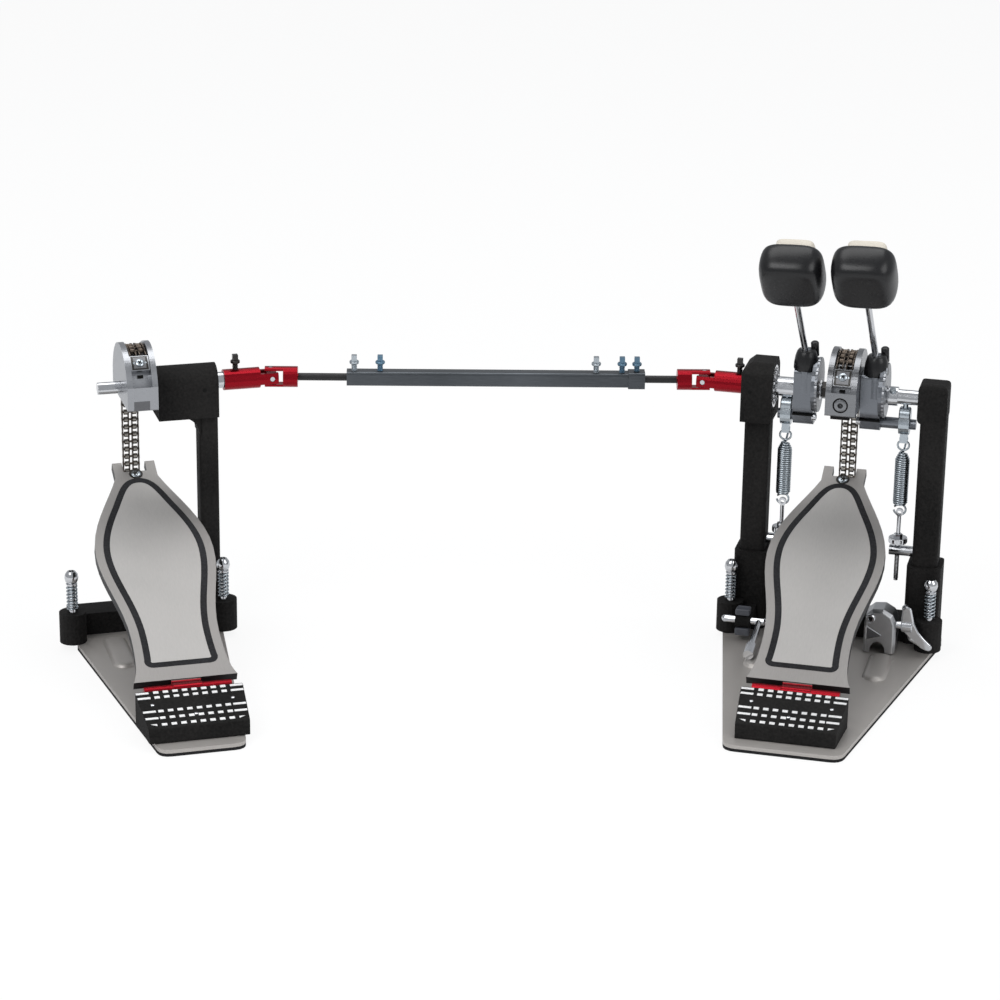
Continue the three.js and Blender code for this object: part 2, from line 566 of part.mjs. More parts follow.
function hub(side) {
  const { x0, x1, disc, boreR, studFrom, studTo, shaftX } = side;
  const { top, bottom, halfY, toeHalfY, discR, discY, discZ } = HUB;
  const profile = outline([
    [-toeHalfY, AXLE_Z + bottom], [toeHalfY, AXLE_Z + bottom], [halfY, AXLE_Z - halfY],
      [halfY, AXLE_Z + top],
    [-halfY, AXLE_Z + top], [-halfY, AXLE_Z - halfY],
  ], 3);
  const outward = Math.sign(studTo - studFrom);
  const seat = side.hangerX - outward * (HANGER.width / 2 + GAP);
  const cap = side.hangerX + outward * (HANGER.width / 2 + GAP);
  const stud = join(
    barX(studFrom - outward * 3, seat, 0, AXLE_Z + STUD.z, STUD.thickR, 18),
    barX(seat - outward, studTo, 0, AXLE_Z + STUD.z, STUD.neckR, 16),
    barX(cap, studTo, 0, AXLE_Z + STUD.z, STUD.capR, 16),
  );
  const { clampY, clampZ, clampR } = BEATER;
  const holder = join(
    ball(shaftX, clampY, AXLE_Z + clampZ, clampR),
      barZ(AXLE_Z, AXLE_Z + clampZ, shaftX, clampY, clampR - 1, 20));
  const body = join(
    prismX(profile, x0, x1), barX(x1 - 1, disc, discY, AXLE_Z + discZ, discR, 32), stud, holder,
  );
  const shaftHole = bar(beaterPoint(shaftX, -30), beaterPoint(shaftX, 30), BEATER.shaftR + GAP, 16);
  return cut(body, barX(x0 - 1, disc + 1, 0, AXLE_Z, boreR + GAP, 24), shaftHole);
}

function beater(group, prefix, x, reach) {
  const leaning = new THREE.Group();
  leaning.position.set(x, BEATER.clampY, AXLE_Z + BEATER.clampZ);
  leaning.rotation.set(...beaterTurn());
  const { width, height, depth, cornerR, rimR } = BEATER_HEAD;
  const [w, h, d] = [width / 2, height / 2, depth / 2];
  const front = prismY(rectangle(-w, w, reach - h, reach + h, cornerR), -d, d);
  const side = prismX(rectangle(-d, d, reach - h, reach + h, rimR), -w, w);
  const plan = prismZ(rectangle(-w, w, -d, d, rimR), reach - h, reach + h);
  const socketHole = barZ(reach - h - 1, reach, 0, 0, BEATER.shaftR + GAP, 16);
  const felt = prismY(
    rectangle(-FELT.width / 2, FELT.width / 2, reach - FELT.height / 2, reach + FELT.height / 2,
      FELT.cornerR),
    d + GAP, d + FELT.depth);
  add(leaning, `${prefix}_beater_shaft`, barZ(-BEATER.below, reach - GAP, 0, 0, BEATER.shaftR, 16),
    CHROME());
  add(leaning, `${prefix}_beater_head`, cut(front.intersect(side).intersect(plan), socketHole),
    BLACK_PLASTIC());
  add(leaning, `${prefix}_beater_felt`, felt, FELT_CREAM());
  group.add(leaning);
}

// ---------------------------------------------------------------- return springs
function hanger(x) {
  const { r, width, lugBottom, lugHalf } = HANGER;
  const z = AXLE_Z + STUD.z;
  const body = join(barX(x - width / 2, x + width / 2, 0, z, r, 18),
    block(x - lugHalf, x + lugHalf, -lugHalf, lugHalf, z + lugBottom, z));
  return cut(body, barX(x - width, x + width, 0, z, STUD.neckR + GAP, 16));
}

function spring(x) {
  const { r, top, bottom, wire } = SPRING;
  const hangerEnd = AXLE_Z + STUD.z + HANGER.lugBottom - GAP;
  return join(barZ(bottom, top, x, 0, r, 16), barZ(top - 1, hangerEnd, x, 0, wire, 10));
}

function eyeBolt(x) {
  const { z, ringR, boltR, boltEnd, nutR, nut } = EYE;
  const eye = cut(barY(-boltR, boltR, x, z, ringR, 16), barY(-boltR - 1, boltR + 1, x, z, ringR - 1.5, 12));
  return join(eye, barZ(boltEnd, z - ringR + 0.6, x, 0, boltR, 12), barZ(...nut, x, 0, nutR, 16));
}

function swivel(x, postFace) {
  const outward = Math.sign(x);
  const body = barX(x - outward * SWIVEL.free, postFace + outward * SWIVEL.intoPost, 0, SWIVEL.z,
    SWIVEL.r, 16);
  return cut(body, barZ(SWIVEL.z - 10, SWIVEL.z + 10, x, 0, EYE.boltR + GAP, 12));
}

// ---------------------------------------------------------------- toe clamp and drum key
function clampBlock() {
  const { x0, x1, y0, y1, top, axisY, axisZ } = CLAMP_BLOCK;
  const profile = outline([[y0, DECK_Z], [y1, DECK_Z], [y1, top - 6], [y1 - 6, top], [y0 + 6, top],
    [y0, top - 12]], 2);
  const bore = barX(x1 - 12 - GAP, x1 + 1, axisY, axisZ, WING.screwR + GAP, 16);
  return cut(prismX(profile, x0, x1), bore);
}

function wingScrew() {
  const { x1, axisY, axisZ } = CLAMP_BLOCK;
  const { screwR, hubR, armR, upper, lower, outX } = WING;
  const hubX = x1 + 8;
  const knee = [hubX + 4, axisY, axisZ - lower / 2];
  return join(
    barX(x1 - 12, hubX + 2, axisY, axisZ, screwR, 16), barX(hubX - 2, hubX + 4, axisY, axisZ, hubR, 16),
    bar([hubX + 1, axisY, axisZ], [hubX - 2, axisY, axisZ + upper], armR, 12),
      ball(hubX - 2, axisY, axisZ + upper, armR, 12),
    bar([hubX + 1, axisY, axisZ], knee, armR, 12), ball(...knee, armR, 12),
    bar(knee, [outX, axisY, axisZ - lower + armR], armR, 12),
      ball(outX, axisY, axisZ - lower + armR, armR, 12),
  );
}

function toeJaw() {
  const { half, pivotY, pivotZ, pinR, rear, front, lip, thickness } = JAW;
  const profile = outline([
    [rear, pivotZ - thickness / 2], [pivotY, pivotZ - thickness], [front - thickness, pivotZ - thickness],
    [front - thickness, lip], [front, lip], [front, pivotZ], [pivotY, pivotZ + thickness],
      [rear, pivotZ + thickness / 2],
  ], 1.5);
  return join(prismX(profile, -half, half), barX(-LUG.outer, LUG.outer, pivotY, pivotZ, pinR, 16));
}

function drumKey() {
  const { y, z, r, left, right, shankX, shankR, socketR, toX, toY, toZ } = KEY;
  const from = new THREE.Vector3(shankX, y, z);
  const to = new THREE.Vector3(toX, toY, toZ);
  const mouth = from.clone().lerp(to, 0.72).toArray();
  return join(
    barX(left, right, y, z, r, 16), ball(left, y, z, r, 12), ball(right, y, z, r, 12),
    bar(from.toArray(), to.toArray(), shankR, 12), bar(mouth, to.toArray(), socketR, 12),
  );
}

// ---------------------------------------------------------------- universal joints and drive shaft
// a yoke on the axle, its fork about the joint's centre; outward is the way from the pedal to the joint
function axleYoke(centreX, start, axleR, axleEnd) {
  const outward = Math.sign(centreX);
  const { r, base, tip, armHalf, slotHalf, pinHole } = YOKE;
  const root = centreX - outward * base;
  const end = centreX + outward * tip;
  const shank = barX(start, end, 0, AXLE_Z, r, 24);
  const beside = end + outward;
  const flats = [-1, 1].map((side) => block(root, beside, -r - 1, r + 1, AXLE_Z + side * armHalf,
    AXLE_Z + side * 2 * r));
  const slot = block(root, beside, -slotHalf, slotHalf, AXLE_Z - r - 1, AXLE_Z + r + 1);
  const holes = barY(-r - 1, r + 1, centreX, AXLE_Z, pinHole, 12);
  const socketBore = barX(start - outward, axleEnd + outward * GAP, 0, AXLE_Z, axleR + GAP, 20);
  return cut(shank, ...flats, slot, holes, socketBore);
}

function crossPiece(centreX) {
  const { half, tall, pinR, pinReach } = CROSS;
  const body = block(centreX - half, centreX + half, -half, half, AXLE_Z - tall, AXLE_Z + tall);
  const level = barY(-pinReach, pinReach, centreX, AXLE_Z, pinR, 12);
  return join(body, level, barZ(AXLE_Z - pinReach, AXLE_Z + pinReach, centreX, 0, pinR, 12));
}

// a yoke on the drive shaft with its rod; inward points from the joint's centre to the drive tube
function shaftYoke(centreX, inward, rodEnd) {
  const { end, base, tip, slotHalf, armHalf } = FAR_YOKE;
  const root = centreX + inward * base;
  const tipX = centreX - inward * tip;
  const shank = barX(tipX, centreX + inward * end, 0, AXLE_Z, YOKE.r, 24);
  const beside = tipX - inward;
  const flats = [-1, 1].map((side) => block(
    root, beside, side * armHalf, side * 2 * YOKE.r, AXLE_Z - YOKE.r - 1, AXLE_Z + YOKE.r + 1));
  const slot = block(root, beside, -YOKE.r - 1, YOKE.r + 1, AXLE_Z - slotHalf, AXLE_Z + slotHalf);
  const holes = barZ(AXLE_Z - YOKE.r - 1, AXLE_Z + YOKE.r + 1, centreX, 0, YOKE.pinHole, 12);
  const rod = barX(centreX + inward * (end - 2), rodEnd, 0, AXLE_Z, ROD.r, 6);
  return join(cut(shank, ...flats, slot, holes), rod);
}

function driveTube() {
  const { side, cornerR, boreR, left, right, collar, collarSide } = TUBE;
  const [half, collarHalf] = [side / 2, collarSide / 2];
  const tube = prismX(rectangle(-half, half, AXLE_Z - half, AXLE_Z + half, cornerR), left, right);
  const endCollar = prismX(
    rectangle(-collarHalf, collarHalf, AXLE_Z - collarHalf, AXLE_Z + collarHalf, cornerR), right - 1,
      right + collar);
  return cut(join(tube, endCollar), barX(left - 1, right + collar + 1, 0, AXLE_Z, boreR, 16));
}

// ---------------------------------------------------------------- assembly
const model = new THREE.Group();
const turn = THREE.MathUtils.degToRad(TOE_OUT);
const linkageY = PRIMARY_JOINT_X * Math.sin(turn);
const slaveY = linkageY - SLAVE_JOINT_X * Math.sin(turn);

function pedal(prefix, base, shaftR) {
  const group = new THREE.Group();
  add(group, `${prefix}_base_plate`, basePlate(base), STEEL());
  add(group, `${prefix}_base_pad`, basePad(base), RUBBER());
  add(group, `${prefix}_heel_plate`, heelPlate(), BLACK_COAT());
  add(group, `${prefix}_hinge`, hinge(), RED_ANODISED());
  footboard(group, prefix);
  add(group, `${prefix}_cam`, cam(shaftR, CAM_X[prefix], CLAMP[prefix]), ALUMINIUM());
  chain(group, prefix);
  add(group, `${prefix}_spur_left`, spur(-base.spurX), CHROME());
  add(group, `${prefix}_spur_right`, spur(base.spurX), CHROME());
  model.add(group);
  return group;
}

const primary = pedal('primary', BASE.primary, SHAFT.r);
primary.rotation.z = -turn;
add(primary, 'primary_casting', primaryCasting(), BLACK_COAT());
add(primary, 'primary_post_left', leftPost(), BLACK_COAT());
add(primary, 'primary_post_right', rightPost(), BLACK_COAT());
add(primary, 'primary_bearing', ring(BEARING.from, BEARING.to, BEARING.r, SLEEVE.r + GAP, 32), CHROME());
add(primary, 'primary_main_shaft', mainShaft(), CHROME());
add(primary, 'primary_drive_sleeve', driveSleeve(), CHROME());
for (const [name, side] of Object.entries(HUBS)) {
  const postFace = name === 'left' ? POST_LEFT.x1 : POST_RIGHT.x0;
  add(primary, `${name}_beater_hub`, hub(side), ALUMINIUM());
  beater(primary, name, side.shaftX, side.reach);
  add(primary, `${name}_spring_hanger`, hanger(side.hangerX), CHROME());
  add(primary, `${name}_spring`, spring(side.hangerX), CHROME());
  add(primary, `${name}_eye_bolt`, eyeBolt(side.hangerX), CHROME());
  add(primary, `${name}_spring_swivel`, swivel(side.hangerX, postFace), CHROME());
}
add(primary, 'toe_clamp_block', clampBlock(), CHROME());
add(primary, 'toe_clamp_wing', wingScrew(), CHROME());
add(primary, 'toe_clamp_jaw', toeJaw(), CHROME());
add(primary, 'drum_key', drumKey(), CHROME());
add(primary, 'primary_yoke', axleYoke(-PRIMARY_JOINT_X, SLEEVE.shoulder - GAP, SLEEVE.endR, SLEEVE.end),
  RED_ANODISED());
add(primary, 'primary_cross', crossPiece(-PRIMARY_JOINT_X), CHROME());

const slave = pedal('slave', BASE.slave, SLAVE_AXLE.r);
slave.rotation.z = turn;
slave.position.set(-PEDAL_SPACING, slaveY, 0);
add(slave, 'slave_casting', slaveCasting(), BLACK_COAT());
add(slave, 'slave_axle', slaveAxle(), CHROME());
add(slave, 'slave_bearing', ring(SLAVE_BEARING.from, SLAVE_BEARING.to, SLAVE_BEARING.r,
  SLAVE_AXLE.r + GAP), CHROME());
add(slave, 'slave_yoke', axleYoke(SLAVE_JOINT_X, SLAVE_AXLE.collar[1] + GAP, SLAVE_AXLE.r,
  SLAVE_AXLE.right), RED_ANODISED());
add(slave, 'slave_cross', crossPiece(SLAVE_JOINT_X), CHROME());

const linkage = new THREE.Group();
linkage.position.y = linkageY;
model.add(linkage);
const primaryEnd = -PRIMARY_JOINT_X * Math.cos(turn);
const slaveEnd = SLAVE_JOINT_X * Math.cos(turn) - PEDAL_SPACING;
add(linkage, 'drive_yoke_right', shaftYoke(primaryEnd, -1, TUBE.right - ROD.insidePrimary), RED_ANODISED());
add(linkage, 'drive_yoke_left', shaftYoke(slaveEnd, 1, TUBE.left + ROD.insideSlave), RED_ANODISED());
add(linkage, 'drive_tube', driveTube(), GUNMETAL());

export default model;
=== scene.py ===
# Looks for the double bass drum pedal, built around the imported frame.
# Lengths are millimetres in a pedal's own frame. Only the relief of the materials, the floor, the lights
# and the camera are in metres.
import math

import bpy
from mathutils import Matrix, Vector


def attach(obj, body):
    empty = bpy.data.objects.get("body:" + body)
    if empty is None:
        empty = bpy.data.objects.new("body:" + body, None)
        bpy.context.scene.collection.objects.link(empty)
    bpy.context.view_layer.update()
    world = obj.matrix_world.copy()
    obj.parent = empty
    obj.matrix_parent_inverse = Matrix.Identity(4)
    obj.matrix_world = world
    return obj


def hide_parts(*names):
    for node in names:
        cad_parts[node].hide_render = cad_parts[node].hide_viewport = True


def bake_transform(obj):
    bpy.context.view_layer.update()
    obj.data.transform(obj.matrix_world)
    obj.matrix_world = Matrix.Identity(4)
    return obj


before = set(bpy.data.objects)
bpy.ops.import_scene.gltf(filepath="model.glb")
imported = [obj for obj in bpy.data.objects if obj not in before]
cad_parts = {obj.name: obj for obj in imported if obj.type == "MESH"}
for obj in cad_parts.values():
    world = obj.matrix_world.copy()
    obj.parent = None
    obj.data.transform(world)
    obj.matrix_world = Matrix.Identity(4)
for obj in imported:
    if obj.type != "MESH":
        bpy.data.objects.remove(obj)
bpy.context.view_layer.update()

MM = 0.001
RIGHT = (1, 0, 0)
BACK = (0, 1, 0)
FRONT = (0, -1, 0)
UP = (0, 0, 1)
PEDALS = ("primary", "slave")
TOE_OUT = math.radians(15)
SLOPE = math.radians(24.6)
SPACING = 566
PRIMARY_JOINT = 114
SLAVE_JOINT = 108
AXLE_Z = 211
CAM_X = {"primary": 2.3, "slave": -2.3}
LINK_Y = PRIMARY_JOINT * math.sin(TOE_OUT)
SLAVE_Y = LINK_Y - SLAVE_JOINT * math.sin(TOE_OUT)

FRAMES = {
    "primary": Matrix.Rotation(-TOE_OUT, 4, "Z"),
    "slave": Matrix.Translation((-SPACING, SLAVE_Y, 0)) @ Matrix.Rotation(TOE_OUT, 4, "Z"),
    "link": Matrix.Translation((0, LINK_Y, 0)),
}


# ---------------------------------------------------------------- materials
def new_material(name):
    mat = bpy.data.materials.new(name)
    mat.use_nodes = True
    tree = mat.node_tree
    return mat, tree, tree.nodes["Principled BSDF"]


def node(tree, kind, inputs=None, **settings):
    made = tree.nodes.new(kind)
    for key, value in settings.items():
        setattr(made, key, value)
    for key, value in (inputs or {}).items():
        if isinstance(value, bpy.types.NodeSocket):
            tree.links.new(value, made.inputs[key])
        else:
            made.inputs[key].default_value = value
    return made


def ramp(tree, source, stops):
    """A change from the first (place, colour) to the second."""
    made = node(tree, "ShaderNodeValToRGB", {"Fac": source})
    for index, (place, colour) in enumerate(stops):
        element = made.color_ramp.elements[index]
        element.position = place
        element.color = (*colour, 1)
    return made.outputs["Color"]


def shade(colour, factor):
    return tuple(min(1, channel * factor) for channel in colour)


def stretched(tree, stretch, turn=0.0):
    """Object coordinates, turned about Z and then stretched along their axes."""
    coords = node(tree, "ShaderNodeTexCoord").outputs["Object"]
    turned = node(tree, "ShaderNodeMapping", {"Vector": coords, "Rotation": (0, 0, turn)})
    return node(tree, "ShaderNodeMapping", {"Vector": turned.outputs[0], "Scale": stretch}).outputs[0]


def noise(tree, vector, scale, detail):
    settings = {"Vector": vector, "Scale": scale, "Detail": detail}
    return node(tree, "ShaderNodeTexNoise", settings).outputs["Fac"]


def dot(tree, vector, direction):
    made = node(tree, "ShaderNodeVectorMath", {0: vector, 1: direction}, operation="DOT_PRODUCT")
    return made.outputs["Value"]


def overlaid(tree, mask, under, colour):
    settings = {"Fac": mask, "Color1": under, "Color2": (*colour, 1)}
    return node(tree, "ShaderNodeMixRGB", settings).outputs[0]


def surface(name, colour, rough, metal, grain=400, stretch=(1, 1, 1), turn=0.0, vary=0.08, bump=0.0,
            rough_vary=0.08, side=None, tail=None, specular=0.5):
    """A material with fine grain in its colour, roughness and relief.

    side gives another colour and metal to faces that turn away from its up direction.
    tail gives another colour to what lies below a limit along its direction.
    """
    mat, tree, shader = new_material(name)
    vector = stretched(tree, stretch, turn)
    fine = noise(tree, vector, grain, 4.0)
    coords = node(tree, "ShaderNodeTexCoord").outputs["Object"]
    broad = noise(tree, coords, 14.0, 2.0)
    mixed = node(tree, "ShaderNodeMath", {0: fine, 1: broad}, operation="ADD").outputs[0]
    half = node(tree, "ShaderNodeMath", {0: mixed, 1: 0.5}, operation="MULTIPLY").outputs[0]
    tint = ramp(tree, half, [(0.3, shade(colour, 1 - vary)), (0.7, shade(colour, 1 + vary))])
    if side is None:
        shader.inputs["Metallic"].default_value = metal
    else:
        normal = node(tree, "ShaderNodeNewGeometry").outputs["True Normal"]
        facing = dot(tree, normal, side["up"])
        mask = ramp(tree, facing, [(side["from"], (1, 1, 1)), (side["to"], (0, 0, 0))])
        tint = overlaid(tree, mask, tint, side["colour"])
        metallic = node(tree, "ShaderNodeMapRange", {0: mask, 3: metal, 4: side["metal"]}).outputs[0]
        tree.links.new(metallic, shader.inputs["Metallic"])
    if tail is not None:
        place = dot(tree, coords, tail["along"])
        mask = node(tree, "ShaderNodeMath", {0: place, 1: tail["below"]}, operation="LESS_THAN").outputs[0]
        tint = overlaid(tree, mask, tint, tail["colour"])
    tree.links.new(tint, shader.inputs["Base Color"])
    roughness = node(tree, "ShaderNodeMapRange", {0: fine, 3: rough - rough_vary, 4: rough + rough_vary})
    tree.links.new(roughness.outputs[0], shader.inputs["Roughness"])
    if bump:
        relief = node(tree, "ShaderNodeBump", {"Height": fine, "Strength": bump, "Distance": 0.0004})
        tree.links.new(relief.outputs[0], shader.inputs["Normal"])
    shader.inputs["Specular IOR Level"].default_value = specular
    return mat


def board_normal(turn):
    up = Vector((0, -math.sin(SLOPE), math.cos(SLOPE)))
    return tuple(Matrix.Rotation(turn, 3, "Z") @ up)


# Each one: name, colour, roughness, metal, how fine its grain is and how the grain is squeezed.
BLACK = (0.012, 0.012, 0.013)
LATHE = (1, 10, 10)
MATS = {
    "plate": surface("base_plate_steel", (0.48, 0.455, 0.43), 0.42, 0.5, 60, (1.5, 8, 8),
                     vary=0.04, bump=0.03),
    "rubber": surface("pad_rubber", BLACK, 0.85, 0.0, 900, bump=0.4, specular=0.3),
    "coat": surface("textured_coat", (0.0105, 0.0098, 0.0094), 0.78, 0.0, 480,
                    vary=0.95, bump=0.9, specular=0.2),
    "red": surface("red_anodised", (0.30, 0.004, 0.012), 0.27, 0.85, 120, (1, 6, 6), vary=0.08),
    "aluminium": surface("satin_aluminium", (0.38, 0.39, 0.41), 0.30, 1.0, 120, LATHE, vary=0.05, bump=0.03),
    "hub_metal": surface("machined_hub", (0.19, 0.202, 0.222), 0.30, 1.0, 120, LATHE, vary=0.08, bump=0.04),
    "cam_metal": surface("machined_cam", (0.25, 0.257, 0.27), 0.28, 1.0, 120, LATHE, vary=0.07, bump=0.03),
    "cast_metal": surface("satin_casting", (0.47, 0.475, 0.485), 0.36, 1.0, 220, vary=0.06, bump=0.08),
    "pocket": surface("cam_pocket_metal", (0.17, 0.172, 0.18), 0.40, 0.9, 200, vary=0.1),
    "chain": surface("chain_plate_steel", (0.085, 0.07, 0.058), 0.32, 1.0, 500, vary=0.25),
    "roller": surface("chain_roller_steel", (0.34, 0.32, 0.29), 0.24, 1.0, 500, vary=0.15),
    "chain_dark": surface("chain_pin_steel", (0.13, 0.105, 0.085), 0.35, 1.0, 500, vary=0.3),
    "black_plastic": surface("beater_plastic", (0.008, 0.008, 0.009), 0.30, 0.0, 700,
                             vary=0.3, bump=0.05, specular=0.4),
    "felt": surface("beater_felt", (0.74, 0.69, 0.60), 0.95, 0.0, 1400, vary=0.12, bump=0.9),
    "gunmetal": surface("brushed_gunmetal", (0.085, 0.093, 0.102), 0.36, 0.9, 260, (0.35, 9, 9),
                        vary=0.35, bump=0.1),
    "chrome": surface("chrome", (0.62, 0.63, 0.65), 0.12, 1.0, 250, vary=0.05, rough_vary=0.04),
    "zinc": surface("blue_zinc", (0.45, 0.495, 0.53), 0.25, 1.0, 600, vary=0.15),
    "blue": surface("threadlock_blue", (0.13, 0.23, 0.32), 0.34, 0.7, 500, vary=0.25),
    "dark_steel": surface("dark_steel", (0.05, 0.048, 0.046), 0.32, 0.9, 400, vary=0.3),
    "rod": surface("black_rod", (0.014, 0.014, 0.015), 0.4, 0.2, 300, (0.4, 8, 8), vary=0.4),
    "clip": surface("clip_plastic", (0.07, 0.075, 0.09), 0.45, 0.0, 500, vary=0.15),
    "inlay": surface("tread_inlay", (0.017, 0.017, 0.019), 0.85, 0.0, 560,
                     vary=0.85, bump=0.9, specular=0.3),
    "dash": surface("heel_dash", (0.80, 0.80, 0.80), 0.35, 0.5, 300, vary=0.06),
    # Near-black painted shade, put on thin pieces in holes, slits and recesses where only shade falls.
    "recess_shade": surface("deep_hole", (0.006, 0.006, 0.006), 0.9, 0.0, 300, specular=0.2),
}
# The boards are brushed along their length, black on their edges, and red where they reach the hinge.
BRUSHED = (9, 0.8, 3)
TAIL_RED = (0.34, 0.005, 0.014)
TAIL_Y = -185.2
for prefix, turn in (("primary", -TOE_OUT), ("slave", TOE_OUT)):
    to_pedal = FRAMES[prefix].inverted()
    tail = {"along": tuple(to_pedal[1][:3]), "below": (TAIL_Y - to_pedal[1][3]) * MM, "colour": TAIL_RED}
    side = {"up": board_normal(turn), "from": 0.80, "to": 0.93, "colour": BLACK, "metal": 0.1}
    MATS[f"board_{prefix}"] = surface(
        f"{prefix}_board_aluminium", (0.29, 0.278, 0.268), 0.5, 0.6, 130, BRUSHED, -turn,
        vary=0.10, bump=0.05, side=side, tail=tail)
    MATS[f"panel_{prefix}"] = surface(
        f"{prefix}_board_panel", (0.42, 0.408, 0.395), 0.52, 0.5, 130, BRUSHED, -turn, vary=0.08, bump=0.05)


# ---------------------------------------------------------------- mesh building
class Shape:
    """Collects closed bodies in a pedal's own frame, then makes one object of them."""

    def __init__(self, where="primary"):
        self.base = FRAMES[where]
        self.verts = []
        self.faces = []

    def add(self, verts, faces):
        start = len(self.verts)
        self.verts += [self.base @ Vector(v) for v in verts]
        self.faces += [tuple(start + i for i in face) for face in faces]

    def loft(self, verts, sides, flipped=False):
        """Equal rings of points, joined in order and closed at both ends; flipped turns the faces over."""
        faces = []
        for i in range(0, len(verts) - sides, sides):
            for k in range(sides):
                n = (k + 1) % sides
                second, last = (i + sides + k, i + n) if flipped else (i + n, i + sides + k)
                faces.append((i + k, second, i + sides + n, last))
        low = tuple(range(sides))
        high = tuple(range(len(verts) - sides, len(verts)))
        faces += [low, high[::-1]] if flipped else [low[::-1], high]
        self.add(verts, faces)

    def revolve(self, profile, at, axis=UP, sides=24, ripple=0.0):
        """A turned body: profile is (radius, distance along axis), starting and ending on the axis.

        ripple is added to the radius at every second side, which makes a knurled or toothed edge.
        """
        turn = Vector(UP).rotation_difference(Vector(axis)).to_matrix()
        verts, faces, rings = [], [], []
        for radius, along in profile:
            ring = []
            count = 1 if radius == 0 else sides
            for k in range(count):
                angle = 2 * math.pi * k / sides
                r = radius + ripple * (k % 2)
                ring.append(len(verts))
                verts.append(Vector(at) + turn @ Vector((r * math.cos(angle), r * math.sin(angle), along)))
            rings.append(ring)
        for low, high in zip(rings, rings[1:]):
            for k in range(sides):
                n = (k + 1) % sides
                if len(low) == 1:
                    faces.append((low[0], high[n], high[k]))
                elif len(high) == 1:
                    faces.append((low[k], low[n], high[0]))
                else:
                    faces.append((low[k], low[n], high[n], high[k]))
        self.add(verts, faces)

    def rod(self, at, axis, length, radius, edge=0.4, sides=20):
        """A cylinder with broken edges, from a point along an axis."""
        e = min(edge, radius * 0.4, length * 0.4)
        profile = [(0, 0), (radius - e, 0), (radius, e),
                   (radius, length - e), (radius - e, length), (0, length)]
        self.revolve(profile, at, axis, sides)

    def tube(self, points, radius, sides=10):
        """A wire along a smooth path, closed at both ends."""
        path = [Vector(p) for p in points]
        verts = []
        normal = None
        for i, point in enumerate(path):
            tangent = (path[min(i + 1, len(path) - 1)] - path[max(i - 1, 0)]).normalized()
            if normal is None:
                normal = tangent.orthogonal().normalized()
            normal = (normal - tangent * normal.dot(tangent)).normalized()
            across = tangent.cross(normal)
            for k in range(sides):
                angle = 2 * math.pi * k / sides
                verts.append(point + radius * (math.cos(angle) * normal + math.sin(angle) * across))
        self.loft(verts, sides)

    def prism(self, outline, origin, u, v, depth):
        """An outline in the u, v plane at origin, raised by depth along u x v."""
        u, v = Vector(u).normalized(), Vector(v).normalized()
        w = u.cross(v) * depth
        low = [Vector(origin) + a * u + b * v for a, b in outline]
        count = len(low)
        faces = [tuple(reversed(range(count))), tuple(range(count, 2 * count))]
        faces += [(k, (k + 1) % count, count + (k + 1) % count, count + k) for k in range(count)]
        self.add(low + [p + w for p in low], faces)

    def box(self, centre, size, u=RIGHT, v=BACK):
        a, b, c = (value / 2 for value in size)
        w = Vector(u).normalized().cross(Vector(v).normalized())
        origin = Vector(centre) - w * c
        self.prism([(-a, -b), (a, -b), (a, b), (-a, b)], origin, u, v, 2 * c)

    def make(self, name, material, body, replaces=(), bevel=0.0, smooth=35, subdivide=0, slot=None):
        mesh = bpy.data.meshes.new(name)
        mesh.from_pydata([v * MM for v in self.verts], [], self.faces)
        mesh.validate()
        mesh.update()
        made = bpy.data.objects.new(name, mesh)
        bpy.context.scene.collection.objects.link(made)
        mesh.materials.append(MATS[material])
        finish_edges(made, bevel, smooth)
        if subdivide:
            made.modifiers.new("round", "SUBSURF").levels = subdivide
            made.modifiers["round"].render_levels = subdivide
        if body:
            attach(made, body)
        if replaces:
            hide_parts(*replaces)
        return made


def finish_edges(obj, bevel, smooth):
    for polygon in obj.data.polygons:
        polygon.use_smooth = True
    if bevel:
        rounding = obj.modifiers.new("bevel", "BEVEL")
        rounding.width = bevel * MM
        rounding.segments = 2
        rounding.limit_method = "ANGLE"
        rounding.angle_limit = math.radians(smooth)
        rounding.harden_normals = True
    else:
        bpy.context.view_layer.objects.active = obj
        obj.select_set(True)
        bpy.ops.object.shade_smooth_by_angle(angle=math.radians(smooth))
        obj.select_set(False)
# ---------------------------------------------------------------- CAD nodes that stay
# Part of a node's name, with its material and the width of its rounded edges. The longest match counts.
CAD_LOOKS = {
    "base_plate": ("plate", 0.8), "base_pad": ("rubber", 0.4), "heel_plate": ("coat", 0.8),
    "casting": ("coat", 1.4), "post_left": ("coat", 1.2), "post_right": ("coat", 1.2),
    "hinge": ("red", 0.3), "bearing": ("chrome", 0.3), "footboard": ("board", 0.5),
    "cam": ("aluminium", 0.4), "primary_cam": ("cam_metal", 0.4), "main_shaft": ("chrome", 0.3),
    "drive_sleeve": ("chrome", 0.3), "hub": ("hub_metal", 0.6), "beater_shaft": ("chrome", 0.3),
    "spring_hanger": ("zinc", 0.3), "eye_bolt": ("chrome", 0.2), "spring_swivel": ("chrome", 0.3),
    "clamp_block": ("cast_metal", 0.7), "clamp_wing": ("chrome", 0.5), "clamp_jaw": ("chrome", 0.6),
    "drum_key": ("chrome", 0.3), "yoke": ("red", 0.4), "cross": ("chrome", 0.3), "axle": ("chrome", 0.3),
    "drive_tube": ("gunmetal", 0.5), "drive_yoke": ("red", 0.4),
}
FLAT_WITHIN = math.radians(1.5)
CAD_SMOOTH = 28
